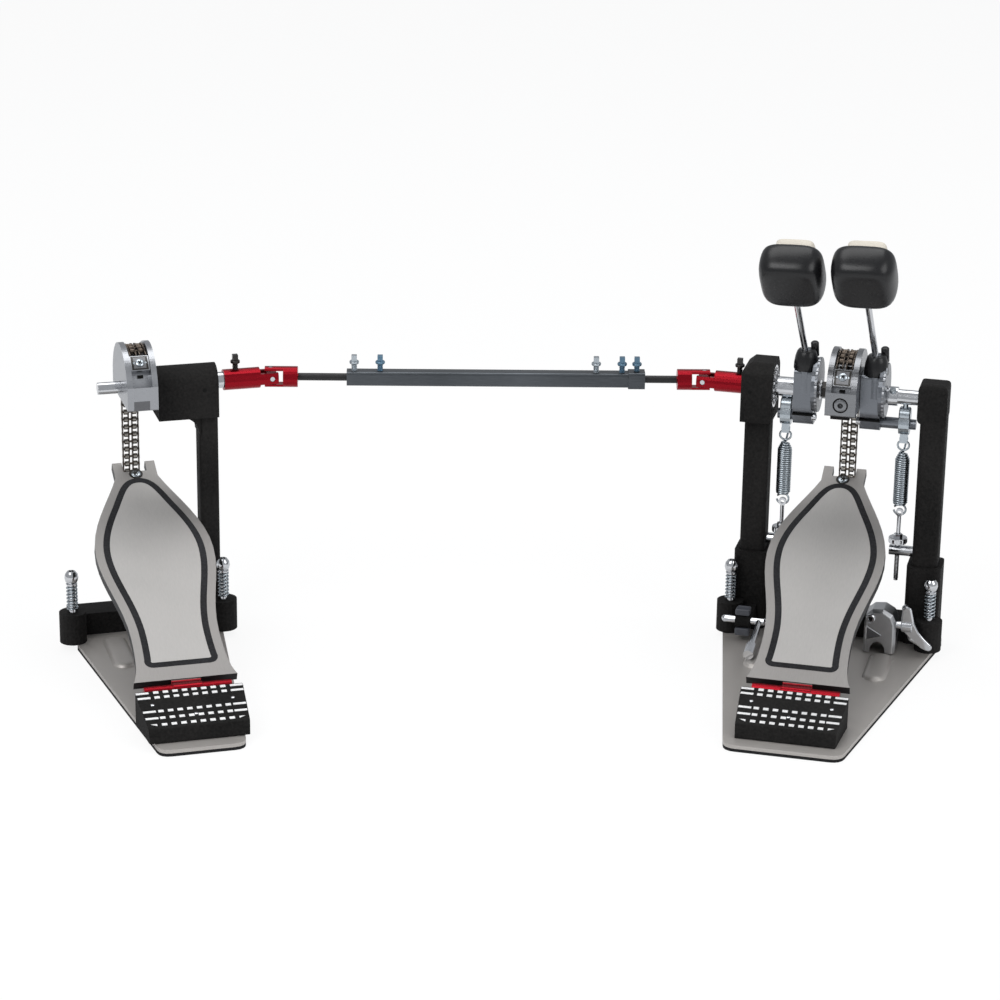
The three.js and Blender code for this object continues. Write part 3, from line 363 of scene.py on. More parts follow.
for name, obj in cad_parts.items():
    key = max((k for k in CAD_LOOKS if k in name), key=len, default=None)
    if key is None:
        continue
    look, width = CAD_LOOKS[key]
    if look == "board":
        look = "board_primary" if name.startswith("primary") else "board_slave"
    obj.data.materials.clear()
    obj.data.materials.append(MATS[look])
    thinned = obj.modifiers.new("flatten", "DECIMATE")
    thinned.decimate_type = "DISSOLVE"
    thinned.angle_limit = FLAT_WITHIN
    finish_edges(obj, width, CAD_SMOOTH)

# ---------------------------------------------------------------- footboards
HOOK_V = 237
HOOK_DEPTH = 3.5
CAM_PITCH_R = 32
BOARD_Y = CAM_PITCH_R - HOOK_V * math.cos(SLOPE) - HOOK_DEPTH * math.sin(SLOPE)
BOARD_Z = 33
HINGE_Y = BOARD_Y - 7
HINGE_Z = BOARD_Z - 5.5
HINGE_HALF = 11.3
HOOK_SCREW_V = 229.2
UP_BOARD = Vector((0, math.cos(SLOPE), math.sin(SLOPE)))
OFF_BOARD = Vector((0, -math.sin(SLOPE), math.cos(SLOPE)))


def on_board(x, v, n=0.0):
    """A point on the board: x across it, v up its slope and n off its face."""
    return Vector((x, BOARD_Y, BOARD_Z)) + UP_BOARD * v + OFF_BOARD * n


def bezier(a, b, c, d, t):
    s = 1 - t
    return tuple(s ** 3 * p + 3 * s * s * t * q + 3 * s * t * t * r + t ** 3 * w
                 for p, q, r, w in zip(a, b, c, d))


def board_side():
    """The right edge of the board, from its waist to its shoulder."""
    waist = (34.5, 46)
    shoulder = (47.2, 138)
    spans = [((40.3, 0), (35.3, 9), (34.5, 28), waist),
             (waist, (34.5, 82), (47.2, 106), shoulder),
             (shoulder, (47.2, 172), (27.4, 199), (17.4, 226))]
    return [bezier(*span, k / 16) for span in spans for k in range(16)]


def inlay_centre():
    """The closed line in the middle of the black band: round corners below, straight sides, an arch above."""
    inset = 9.4
    side_start = 21
    side_end = 196
    foot = 20.6
    crown = 221.5
    corner_r = 4.2
    pull = 0.62
    edge = board_side()
    side = []
    for before, point, after in zip(edge, edge[1:], edge[2:]):
        tangent = Vector((after[0] - before[0], after[1] - before[1])).normalized()
        x, v = point[0] - inset * tangent.y, point[1] + inset * tangent.x
        if side_start < v < side_end:
            side.append((x, v))
    corner = []
    for k in range(6):
        angle = math.pi / 2 * k / 5
        x = side[0][0] + 0.3 - corner_r * (1 - math.cos(angle))
        corner.append((x, foot - corner_r * math.sin(angle)))
    top = side[-1]
    arch = crown - top[1]
    slant = (side[-1][0] - side[-4][0]) / (side[-1][1] - side[-4][1])
    rise = (top[0] + slant * arch * pull, top[1] + arch * pull)
    cap = [bezier(top, rise, (11, crown), (0, crown), k / 12) for k in range(1, 12)]
    right = list(reversed(corner)) + side + cap
    return right + [(0, top[1] + arch)] + [(-x, v) for x, v in reversed(right)]


def band(shape, path, half, thick):
    """A flat closed band along a path on the board."""
    verts, faces = [], []
    count = len(path)
    for k in range(count):
        a, b = Vector(path[k - 1]), Vector(path[(k + 1) % count])
        tangent = (b - a).normalized()
        normal = Vector((tangent.y, -tangent.x))
        for offset in (half, -half):
            place = Vector(path[k]) + normal * offset
            verts += [on_board(place.x, place.y, -0.2), on_board(place.x, place.y, thick)]
    for k in range(count):
        a, b = 4 * k, 4 * ((k + 1) % count)
        for i, j in ((0, 1), (1, 3), (3, 2), (2, 0)):
            faces.append((a + i, a + j, b + j, b + i))
    shape.add(verts, faces)


def painted_cross_recess(shape, centre, axis, radius, height):
    """Painted shade of a cross recess: two thin dark bars on a screw head."""
    w = Vector(axis).normalized()
    u = w.orthogonal().normalized()
    bar = (radius * 1.15, radius * 0.32, 0.12)
    for direction in (u, w.cross(u)):
        shape.box(Vector(centre) + w * height, bar, direction, w.cross(direction))


for prefix in PEDALS:
    body = f"{prefix}_board"
    trim = Shape(prefix)
    band(trim, inlay_centre(), 2.6, 0.12)
    trim.make(f"{prefix}_board_inlay", "inlay", body)
    panel = Shape(prefix)
    panel.prism(inlay_centre(), on_board(0, 0, -0.1), RIGHT, UP_BOARD, 0.16)
    panel.make(f"{prefix}_board_panel", f"panel_{prefix}", body)

    sleeve = Shape(prefix)
    sleeve.rod((-HINGE_HALF, HINGE_Y, HINGE_Z), RIGHT, 2 * HINGE_HALF, 4.15, 0.3, 24)
    web = [(-7, HINGE_Z - 3.2), (-7, HINGE_Z + 4.1), (-0.2, BOARD_Z - 1.6), (0.6, BOARD_Z - 4.6)]
    sleeve.prism(web, (-HINGE_HALF, BOARD_Y, 0), BACK, UP, 2 * HINGE_HALF)
    sleeve.make(f"{prefix}_hinge_sleeve", "red", body)

    ring = Shape(prefix)
    ring.revolve([(0, 0), (5.6, 0), (5.6, 0.15), (4.4, 0.15), (3.9, -0.1), (0, -0.1)],
                 on_board(0, HOOK_SCREW_V, 0.02), OFF_BOARD, 28)
    ring.make(f"{prefix}_hook_screw_ring", "dark_steel", body)
    head = Shape(prefix)
    head.revolve([(0, 0), (3.7, 0), (3.9, 0.25), (3.0, 0.75), (0, 0.95)],
                 on_board(0, HOOK_SCREW_V, 0), OFF_BOARD, 24)
    head.make(f"{prefix}_hook_screw", "zinc", body)
    # The hook screw's cross recess is painted shade: dark bars on the head.
    cross = Shape(prefix)
    painted_cross_recess(cross, on_board(0, HOOK_SCREW_V, 0), OFF_BOARD, 3.6, 0.92)
    cross.make(f"{prefix}_hook_screw_recess_shade", "dark_steel", body)

# ---------------------------------------------------------------- embossed ribs of the base plates
# How far in from the rib's outline, and how high, each ring of its skin lies.
RIB_LEVELS = ((-1.8, 5.45), (-1.0, 6.2), (-0.5, 7.0), (0.2, 7.5), (1.4, 8.0), (3.2, 8.3), (5.0, 8.4))


def rib_skin(shape, x, y0, y1, half=8, sides=28):
    """A pressed rib: a long mound with round ends that flares into the plate."""
    verts = []
    for inset, z in RIB_LEVELS:
        for k in range(sides):
            angle = 2 * math.pi * (k + 0.5) / sides
            end = y1 - half if math.sin(angle) > 0 else y0 + half
            verts.append((x + (half - inset) * math.cos(angle), end + (half - inset) * math.sin(angle), z))
    shape.loft(verts, sides)


for prefix, rib_x, ends in (("primary", 48, (-100, -46)), ("slave", 30, (-87, -24))):
    ribs = Shape(prefix)
    rib_skin(ribs, -rib_x, *ends)
    rib_skin(ribs, rib_x, *ends)
    ribs.make(f"{prefix}_plate_ribs", "plate", f"{prefix}_frame", smooth=70)

# ---------------------------------------------------------------- heel plates
HEEL_BACK = HINGE_Y - 4.3
HEEL_LENGTH = 45.5
HEEL_FRONT = HEEL_BACK - HEEL_LENGTH + 3.3
HEEL_HIGH = 30
HEEL_LOW = 17
HEEL_TILT = math.atan2(HEEL_HIGH - HEEL_LOW, HEEL_BACK - HEEL_FRONT)
DOWN_HEEL = Vector((0, -math.cos(HEEL_TILT), -math.sin(HEEL_TILT)))
OFF_HEEL = Vector((0, -math.sin(HEEL_TILT), math.cos(HEEL_TILT)))
DASH_ROWS = (2.6, 8.4, 24.6, 32.4, 40.2)
DASH_PITCH = 7.4
SCREW_ROW = 16.8


def on_heel(x, s, n=0.0):
    """A point on the heel plate: x across it, s down its slope and n off its face."""
    return Vector((x, HEEL_BACK, HEEL_HIGH)) + DOWN_HEEL * s + OFF_HEEL * n


def heel_half(s):
    """Half the width of the heel plate, which narrows towards the front."""
    return 42 - 3.5 * s / HEEL_LENGTH


for prefix in PEDALS:
    body = f"{prefix}_frame"
    dashes = Shape(prefix)
    for row, s in enumerate(DASH_ROWS):
        half = heel_half(s)
        for k in range(8):
            x = (k - 3.5) * DASH_PITCH
            dashes.box(on_heel(x, s, 0.1), (4.3, 2.8, 0.6), RIGHT, -DOWN_HEEL)
        for side in (-1, 1):
            if row < 4:
                dashes.box(on_heel(side * (half - 5.4), s, 0.1), (10, 2.3, 0.6), RIGHT, -DOWN_HEEL)
            else:
                wedge = [(0, -1.2), (side * 5, 1.2), (0, 1.2)]
                outline = wedge if side > 0 else wedge[::-1]
                dashes.prism(outline, on_heel(side * (half - 7.5), s, -0.2), RIGHT, -DOWN_HEEL, 0.6)
    dashes.make(f"{prefix}_heel_dashes", "dash", body, bevel=0.25)
    screws = Shape(prefix)
    for x, s in ((-31, SCREW_ROW), (31, SCREW_ROW), (0, DASH_ROWS[3] - 1.2)):
        screws.revolve([(0, -0.3), (1.5, -0.3), (1.5, 0.25), (1.1, 0.5), (0, 0.5)],
                       on_heel(x, s, 0), OFF_HEEL, 14)
    screws.make(f"{prefix}_heel_screws", "chrome", body)

# ---------------------------------------------------------------- chains
PITCH = 6.35
LINK_ARC = 2 * math.asin(PITCH / 2 / CAM_PITCH_R)
HOOK_Z = BOARD_Z + HOOK_V * math.sin(SLOPE) - HOOK_DEPTH * math.cos(SLOPE)
# Places across the chain, from its middle: the four side plates and the two strands of rollers.
PLATES = (-5.9, -1.0, 1.0, 5.9)
STRANDS = (-3.45, 3.45)
PLATE_THICK = 0.9
WRAP_LINKS = {"primary": 7, "slave": 6}


def chain_points(x, start, count):
    """Pin centres: along the cam's arc for positive numbers, straight down for negative ones."""
    points = []
    for k in range(start, start + count + 1):
        if k >= 0:
            angle = k * LINK_ARC
            points.append(Vector((x, CAM_PITCH_R * math.cos(angle), AXLE_Z + CAM_PITCH_R * math.sin(angle))))
        else:
            points.append(Vector((x, CAM_PITCH_R, AXLE_Z + k * PITCH)))
    return points


def link_plate(shape, a, b, x, thick, outer):
    """One figure-of-eight side plate between two pins."""
    along = (b - a).normalized()
    across = Vector(RIGHT).cross(along)
    length = (b - a).length
    r, waist = (2.75, 2.0) if outer else (2.6, 1.9)
    right = [(r * math.cos(t), r * math.sin(t)) for t in [math.radians(d) for d in range(40, 321, 40)]]
    left = [(length - p, -q) for p, q in right]
    points = right + [(length / 2, -waist)] + left + [(length / 2, waist)]
    shape.prism(points, a + Vector((x - thick / 2, 0, 0)), along, across, thick)


def make_chain(prefix, name, body, start, count, node_name):
    """A run of a double chain: side plates that replace the CAD's run, rollers and pins."""
    plates, rollers, pins = Shape(prefix), Shape(prefix), Shape(prefix)
    points = chain_points(CAM_X[prefix], start, count)
    for k, (a, b) in enumerate(zip(points, points[1:])):
        outer = (start + k) % 2 == 0
        for x in PLATES:
            shift = 0.45 if outer else -0.45
            link_plate(plates, a, b, x + math.copysign(shift, x), PLATE_THICK, outer)
        for side in STRANDS:
            rollers.rod(a + Vector((side - 1.75, 0, 0)), RIGHT, 3.5, 2.25, 0.35, 14)
        pins.rod(a + Vector((-7.0, 0, 0)), RIGHT, 14.0, 0.95, 0.2, 10)
    # Rollers wrapped on the cam take the darker pin steel: painted shade in the cam's groove.
    roller_look_shaded_on_cam = "chain_dark" if name == "chain_on_cam" else "roller"
    plates.make(f"{prefix}_{name}", "chain", body, (node_name,))
    rollers.make(f"{prefix}_{name}_rollers", roller_look_shaded_on_cam, body)
    pins.make(f"{prefix}_{name}_pins", "chain_dark", body)


DROP_LINKS = round((AXLE_Z - HOOK_Z) / PITCH)
for prefix in PEDALS:
    make_chain(prefix, "chain_on_cam", f"{prefix}_rotor", 4, WRAP_LINKS[prefix], f"{prefix}_chain_wrap")
    make_chain(prefix, "chain_upper", f"{prefix}_upper_link", 2, 2, f"{prefix}_chain_link_1")
    make_chain(prefix, "chain_lower", f"{prefix}_lower_link", 0, 2, f"{prefix}_chain_link_2")
    make_chain(prefix, "chain_hanging", f"{prefix}_drop", -DROP_LINKS, DROP_LINKS, f"{prefix}_chain_drop")

# ---------------------------------------------------------------- cams: screws, clamp and strap
CAM_RIM = 34.6
CLAMP_SCREW = {"primary": 143.5, "slave": 131}
CLAMP_SPAN = {"primary": (132, 156), "slave": (119, 142)}
SLOT_R = 28.6


def out_at(degrees):
    """The direction out of the axle at an angle, counted from the back towards the top."""
    return Vector((0, math.cos(math.radians(degrees)), math.sin(math.radians(degrees))))


def arc_plate(shape, x, half, inner, outer, first, last, steps=8):
    """A thin curved plate that follows the rim of a cam."""
    verts = []
    for k in range(steps + 1):
        out = out_at(first + (last - first) * k / steps)
        for across, radius in ((-half, inner), (half, inner), (half, outer), (-half, outer)):
            verts.append(Vector((x + across, 0, AXLE_Z)) + out * radius)
    shape.loft(verts, 4)


for prefix in PEDALS:
    body = f"{prefix}_rotor"
    cam_x = CAM_X[prefix]
    axle = Vector((cam_x, 0, AXLE_Z))
    out = out_at(CLAMP_SCREW[prefix])
    seat = axle + out * CAM_RIM
    bolt = Shape(prefix)
    bolt.revolve([(0, 0), (3.4, 0), (3.4, 0.9), (2.6, 1.5), (0, 1.6)], seat, out, 20)
    for along in (-1, 1):
        bolt.rod(Vector((along * 4.6, 0, 0)) + seat, out, 0.5, 1.0, 0.2, 12)
    bolt.make(f"{prefix}_chain_clamp_screw", "zinc", body)

    first, last = CLAMP_SPAN[prefix]
    surround = Shape(prefix)
    arc_plate(surround, cam_x, 6.6, 34.55, 34.75, first + 1.2, last - 1.2)
    surround.make(f"{prefix}_chain_clamp_surround", "dark_steel", body)
    cover = Shape(prefix)
    arc_plate(cover, cam_x, 4.9, 34.7, 34.95, first + 3, last - 3)
    cover.make(f"{prefix}_chain_clamp_cover", "pocket", body)

    # Painted shade: dark pieces in the cam's slot, in the clamp screw's cross and in the gap round the
    # primary's cam screw.
    slot = Shape(prefix)
    slot.box(axle + out_at(last + 6) * SLOT_R, (4.5, 2.4, 1.4), RIGHT, out_at(last + 96))
    painted_cross_recess(slot, seat, out, 3.0, 1.55)
    face = Vector((cam_x, -34.8, AXLE_Z - 0.8))
    if prefix == "primary":
        slot.revolve([(0, 0), (6.2, 0), (6.2, 0.12), (5.2, 0.12), (5.2, -0.1), (0, -0.1)], face, FRONT, 28)
        screw = Shape(prefix)
        screw.revolve([(0, 0), (4.9, 0), (4.9, 0.25), (4.4, 0.5), (2.3, 0.5), (2.3, -0.2), (0, -0.2)],
                      face, FRONT, 24)
        screw.make(f"{prefix}_cam_screw", "cam_metal", body)
        strap = Shape(prefix)
        strap.box((cam_x, -27, AXLE_Z - 11.6), (15.5, 13, 3), RIGHT, BACK)
        strap.make(f"{prefix}_cam_strap", "coat", body, bevel=0.4)
    else:
        pocket = Shape(prefix)
        pocket.box(face + Vector((-0.85, -0.05, -5.0)), (12.7, 7.4, 0.2), RIGHT, UP)
        pocket.make("slave_cam_pocket", "pocket", body)
    slot.make(f"{prefix}_cam_recess_shades", "recess_shade", body)

# ---------------------------------------------------------------- beaters and hubs
LEAN = math.radians(38)
SIDE_LEAN = math.radians(2.6)
UP_BEATER = Vector((-math.sin(SIDE_LEAN), -math.sin(LEAN) * math.cos(SIDE_LEAN),
                    math.cos(LEAN) * math.cos(SIDE_LEAN)))
OFF_BEATER = Vector((0, math.cos(LEAN), math.sin(LEAN)))
ACROSS_BEATER = OFF_BEATER.cross(UP_BEATER)
CLAMP = Vector((0, -6, AXLE_Z + 28))
HUB_TOP = AXLE_Z + 19
SIDES = {
    "left": {"x": -30.5, "rotor": "drive_rotor", "block": (-39, -22.5), "disc": -20.6,
             "hanger": -45.4, "reach": 107},
    "right": {"x": 26, "rotor": "primary_rotor", "block": (15, 31.4), "disc": 33.4,
              "hanger": 50.4, "reach": 112},
}


def beater_at(x, reach, n=0.0, across=0.0):
    """A point by a beater: reach up its shaft, n towards the drum and across its face."""
    return Vector((x, 0, 0)) + CLAMP + UP_BEATER * reach + OFF_BEATER * n + ACROSS_BEATER * across


def cushion(shape, centre, half, u, v, power, rings=12, sides=32):
    """A squarish rounded solid: a superellipsoid about a centre."""
    w = Vector(u).cross(Vector(v))

    def curve(value):
        return math.copysign(abs(value) ** power, value)

    verts = []
    for i in range(rings + 1):
        lat = -math.pi / 2 + math.pi * i / rings
        for k in range(sides):
            lon = 2 * math.pi * (k + 0.5) / sides
            a = half[0] * curve(math.cos(lat)) * curve(math.cos(lon))
            b = half[1] * curve(math.cos(lat)) * curve(math.sin(lon))
            c = half[2] * curve(math.sin(lat))
            verts.append(Vector(centre) + a * Vector(u) + b * Vector(v) + c * w)
    shape.loft(verts, sides)


def beater_head(shape, x, reach):
    """A moulded head: a rounded square that narrows a little towards the player."""
    verts = []
    levels = [(-14.3, 17.5), (-13.2, 20.6), (-10.0, 23.2), (-4.0, 25.0),
              (4.0, 25.3), (11.0, 24.6), (13.6, 23.0), (14.4, 20.5)]
    squareness = 0.52
    sides = 40
    for depth, half in levels:
        for k in range(sides):
            angle = 2 * math.pi * (k + 0.5) / sides
            c, s = math.cos(angle), math.sin(angle)
            a = half * math.copysign(abs(c) ** squareness, c)
            b = half * 1.04 * math.copysign(abs(s) ** squareness, s)
            verts.append(beater_at(x, reach + b, depth, a))
    shape.loft(verts, sides, flipped=True)


for side, spec in SIDES.items():
    x, rotor, reach = spec["x"], spec["rotor"], spec["reach"]
    rider = f"{side}_beater"
    head = Shape()
    beater_head(head, x, reach)
    head.make(f"{side}_beater_moulding", "black_plastic", rider, (f"{side}_beater_head",),
              smooth=60, subdivide=1)
    pad = Shape()
    cushion(pad, beater_at(x, reach, 20.5), (15.5, 15.5, 6.0), tuple(ACROSS_BEATER), tuple(UP_BEATER), 0.35)
    felt = pad.make(f"{side}_beater_felt_pad", "felt", rider, (f"{side}_beater_felt",), smooth=60)

    holder = Shape()
    holder.revolve([(0, -0.5), (9.4, -0.5), (9.9, 0.6), (9.7, 5.5), (8.9, 10.5), (7.6, 14.5), (6.4, 16),
                    (3.3, 16.3), (0, 16.3)], (x, -6, HUB_TOP), UP, 32)
    knob = Vector((x + 5.8, 3, HUB_TOP + 8))
    holder.rod(knob, UP_BEATER + OFF_BEATER * 0.5, 13, 3.3, 0.9, 18)
    holder.make(f"{side}_beater_holder", "black_plastic", rotor, smooth=50)

    disc = Shape()
    away = 1 if spec["disc"] > x else -1
    disc.revolve([(0, 0), (22.3, 0), (22.3, 1.7), (0, 1.7)],
                 (spec["disc"], -2, AXLE_Z + 5), (away, 0, 0), 72, -0.5)
    disc.make(f"{side}_hub_index_disc", "aluminium", rotor, smooth=20)

    low, high = spec["block"]
    caps = Shape()
    face = 1 if side == "left" else -1
    for y, z, size in ((-8.5, -20.5, 3.1), (-6.5, 9.5, 2.4)):
        place = (high if side == "left" else low, y, AXLE_Z + z)
        caps.revolve([(0, -1), (size, -1), (size, 2.2), (size - 0.4, 2.6), (size * 0.55, 2.6),
                      (size * 0.55, 1.2), (0, 1.2)], place, (face, 0, 0), 18)
    caps.make(f"{side}_hub_cap_screws", "chrome", rotor)
    # A dark sheet in the hub's clamp slit: painted shade.
    recess_shade = Shape()
    recess_shade.box(((low + high) / 2, 0, AXLE_Z - 18.5), (high - low + 0.3, 26.2, 1.0))
    recess_shade.make(f"{side}_hub_clamp_slit_shade", "recess_shade", rotor)

# ---------------------------------------------------------------- return springs
COIL_R = 5.2
WIRE_R = 0.85
COIL_TOP = 166
COIL_LOW = 118
TURNS = 25
LOOP_Z = 115.6
HOOK_END_Z = 170.4
THREADS = 26
THREAD_LOW = 56
THREAD_PITCH = 1.15
STUD_Z = AXLE_Z - 22.5


def spring_path(x):
    """Lower loop, taper, close-wound coil, taper and open upper hook."""
    points = []
    for k in range(15):
        angle = math.radians(-80 + 320 * k / 14)
        points.append((x + 4.9 * math.sin(angle), 0, LOOP_Z - 4.6 * math.cos(angle)))
    steps = TURNS * 16
    for k in range(steps + 1):
        t = k / steps
        angle = 2 * math.pi * TURNS * t
        taper = min(1, 0.7 + t * 9, 0.5 + (1 - t) * 4)
        z = COIL_LOW + 2 + (COIL_TOP - COIL_LOW - 4) * t
        points.append((x + COIL_R * taper * math.sin(angle), COIL_R * taper * math.cos(angle), z))
    for k in range(14):
        angle = math.radians(150 - 290 * k / 13)
        points.append((x + 4.6 * math.sin(angle), 0, HOOK_END_Z - 4.2 * math.cos(angle)))
    return points


for side, spec in SIDES.items():
    x = spec["hanger"]
    coil = Shape()
    coil.tube(spring_path(x), WIRE_R, 8)
    wire = coil.make(f"{side}_return_spring_coil", "zinc", None, (f"{side}_spring",), smooth=60)
    low = FRAMES["primary"] @ Vector((x, 0, COIL_LOW))
    high = FRAMES["primary"] @ Vector((x, 0, COIL_TOP))
    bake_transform(wire)

    bolt = Shape()
    for k in range(THREADS):
        z = THREAD_LOW + k * THREAD_PITCH
        bolt.revolve([(0, z), (1.5, z), (2.0, z + 0.45), (2.0, z + 0.6), (1.5, z + 1.1), (0, z + 1.1)],
                     (x, 0, 0), UP, 14)
    bolt.make(f"{side}_eye_bolt_thread", "dark_steel", f"{side}_anchor", smooth=30)
    nut = Shape()
    nut.revolve([(0, 87), (6.6, 87), (7.7, 87.8), (7.7, 90.9), (6.6, 91.8), (0, 91.8)],
                (x, 0, 0), UP, 44, -0.35)
    nut.revolve([(0, 91.5), (3.6, 91.5), (3.6, 94.6), (3.0, 95), (0, 95)], (x, 0, 0), UP, 6)
    nut.make(f"{side}_eye_bolt_knurled_nut", "chrome", f"{side}_anchor", smooth=20)
    lug = Shape()
    lug.revolve([(0, -4.6), (5.4, -4.6), (6.4, -3.8), (6.4, 3.8), (5.4, 4.6), (0, 4.6)],
                (x, 0, STUD_Z + 8), RIGHT, 20)
    lug.rod((x, 0, STUD_Z + 12), UP, 5.5, 2.1, 0.5, 14)
    lug.revolve([(0, -1.2), (3.6, -1.2), (3.6, 1.2), (0, 1.2)], (x, 0, STUD_Z - 12.6), BACK, 16)
    lug.make(f"{side}_hanger_screw", "zinc", f"{side}_hanger", smooth=30)

# ---------------------------------------------------------------- key screws of the linkage
# Each square-headed screw: the frame it is placed in, its x there, its body and its material.
LINK_SCREWS = (
    ("slave", 79, "slave_rotor", "dark_steel"), ("link", -394, "drive_shaft_right", "zinc"),
    ("link", -373, "drive_shaft_right", "blue"), ("link", -198, "drive_shaft_right", "zinc"),
    ("link", -177, "drive_shaft_right", "blue"), ("link", -165, "drive_shaft_right", "blue"),
    ("primary", -85, "drive_rotor", "dark_steel"),
)
LINK_SCREW_BASE = 5.6
PEDAL_SCREW_BASE = 7.6
ROD_SPANS = (("left", "drive_shaft_left", -439.4, -338.3), ("right", "drive_shaft_right", -192.7, -132.4))
for side, body, start, end in ROD_SPANS:
    skin = Shape("link")
    skin.rod((start, 0, AXLE_Z), RIGHT, end - start, 3.06, 0.2, 20)
    skin.make(f"drive_rod_{side}_black", "rod", body)

for index, (where, x, body, material) in enumerate(LINK_SCREWS):
    base = AXLE_Z + (LINK_SCREW_BASE if where == "link" else PEDAL_SCREW_BASE)
    screw = Shape(where)
    screw.rod((x, 0, base), UP, 6.2, 1.9, 0.2, 14)
    for k in range(5):
        screw.revolve([(0, 0), (1.9, 0), (2.5, 0.45), (1.9, 0.9), (0, 0.9)], (x, 0, base + 1.2 * k), UP, 14)
    screw.revolve([(0, 0), (3.6, 0), (3.9, 0.5), (3.9, 1.8), (3.4, 2.4), (0, 2.4)], (x, 0, base + 6), UP, 18)
    screw.box((x, 0, base + 10.6), (4.3, 4.3, 5.0))
    screw.make(f"drive_key_screw_{index + 1}", material, body, bevel=0.25, smooth=30)

# ---------------------------------------------------------------- toe clamp
WING_X, WING_Y, WING_Z = 66, -38.5, 30.5
SET_SCREW = (37, -44, 36)
CASTING_X = 44.7
CASTING_Z = 6.2
CASTING_HALF = 14
CASTING_HEIGHT = 44

wing = Shape()
blade = [(-4.5, 15), (-1, 17.6), (3, 16), (4.6, 9), (6, 3), (10, -4), (15, -9.5), (20.5, -14.5),
         (20.6, -18), (17, -19.6), (12, -17.5), (6, -12.5), (0, -7), (-4, -3), (-5, 5)]
wing.prism(blade, (WING_X, WING_Y + 3, WING_Z), RIGHT, UP, 6)
wing.make("toe_clamp_wing_blade", "chrome", "wing_screw", bevel=1.4, smooth=25)
barrel = Shape()
barrel.rod((WING_X - 4.5, WING_Y, WING_Z), RIGHT, 9, 5.3, 0.8, 24)
barrel.make("toe_clamp_wing_hub", "chrome", "wing_screw")
clamp = Shape()
clamp.revolve([(0, 0), (3.7, 0), (3.7, 1.4), (3.1, 2.0), (2.0, 2.0), (2.0, 0.6), (0, 0.6)],
              SET_SCREW, FRONT, 22)
clamp.make("toe_clamp_set_screw", "chrome", "primary_frame")
# A dark disc in the set screw's socket: painted shade.
socket = Shape()
socket.rod((37, -44.7, 36), FRONT, 0.3, 1.9, 0.05, 6)
socket.make("toe_clamp_set_screw_socket_shade", "recess_shade", "primary_frame")

# The casting's outline with its notch, drawn in towards its middle and foot at the front and the back.
casting = Shape()
face = [(31.6, 6.2), (35.6, 6.2), (36.4, 11.5), (39.2, 15.2), (43, 16.6), (46.8, 15.2), (49.6, 11.5),
        (50.4, 6.2), (57.8, 6.2), (57.8, 33), (54.5, 39.5), (47, 43.6), (38, 42.8), (32.8, 38), (31.6, 30)]
points = []
for y, shrink in ((-43.9, 2.6), (-40.6, 0.0), (-24, 0.0), (-18.1, 3.4)):
    narrow = 1 - shrink / CASTING_HALF
    lower = 1 - shrink / CASTING_HEIGHT
    for x, z in face:
        points.append((CASTING_X + (x - CASTING_X) * narrow, y, CASTING_Z + (z - CASTING_Z) * lower))
casting.loft(points, len(face), flipped=True)
casting.make("toe_clamp_casting", "cast_metal", "primary_frame", ("toe_clamp_block",), bevel=0.7, smooth=25)
rim = Shape()
triangle = [(33.8, 28.6), (33.8, 17.2), (46.2, 21.6)]
for (x0, z0), (x1, z1) in zip(triangle, triangle[1:] + triangle[:1]):
    run = Vector((x1 - x0, 0, z1 - z0))
    rim.rod((x0, -43.55, z0), run.normalized(), run.length, 0.75, 0.2, 10)
rim.make("toe_clamp_triangle_rim", "chrome", "primary_frame")
facet = Shape()
facet.prism(triangle, (0, -43.8, 0), RIGHT, UP, 0.25)
facet.make("toe_clamp_facet", "pocket", "primary_frame")

# ---------------------------------------------------------------- key clip, bearing and shaft details
CLIP_X = -67
SHIELD_X = -55.5
BALLS = 14
BALL_RING_R = 12.2

clip = Shape()
for low, high in ((10.5, 17), (28, 33.5)):
    clip.box((CLIP_X, -44, (low + high) / 2), (12, 8, high - low))
clip.box((CLIP_X, -37.6, 22), (11, 3, 22))
clip.make("key_clip_jaws", "clip", "primary_frame", bevel=1.2)
race = Shape()
race.revolve([(0, 0), (15.2, 0), (15.2, 0.15), (0, 0.15)], (SHIELD_X, 0, AXLE_Z), RIGHT, 40)
race.make("primary_bearing_shield", "dark_steel", "primary_frame")
balls = Shape()
for k in range(BALLS):
    angle = 2 * math.pi * k / BALLS
    place = (-55.2, BALL_RING_R * math.cos(angle), AXLE_Z + BALL_RING_R * math.sin(angle))
    balls.revolve([(0, -1.5), (1.1, -1.05), (1.5, 0), (1.1, 1.05), (0, 1.5)], place, RIGHT, 12)
balls.make("primary_bearing_balls", "chrome", "primary_frame", smooth=60)
collar = Shape()
collar.rod((-17.6, 0, AXLE_Z), RIGHT, 6.8, 7.2, 0.5, 6)
collar.make("primary_shaft_hexagon", "dark_steel", "primary_rotor", bevel=0.3)
lock = Shape()
lock.rod((40.2, -5.2, AXLE_Z + 5.6), (0, -0.7, 0.7), 3.0, 2.6, 0.4, 16)
lock.make("primary_collar_screw", "zinc", "primary_rotor")
# Dark discs in the heads' set-screw holes: painted shade.
HEAD_SCREWS = {"primary": (-73, -20, AXLE_Z - 1), "slave": (51, -15, AXLE_Z - 3)}
for where, place in HEAD_SCREWS.items():
    pit = Shape(where)
    pit.rod(Vector(place) + Vector((0, 0.6, 0)), FRONT, 0.7, 1.7, 0.1, 18)
    pit.make(f"{where}_head_set_screw_shade", "recess_shade", f"{where}_frame")

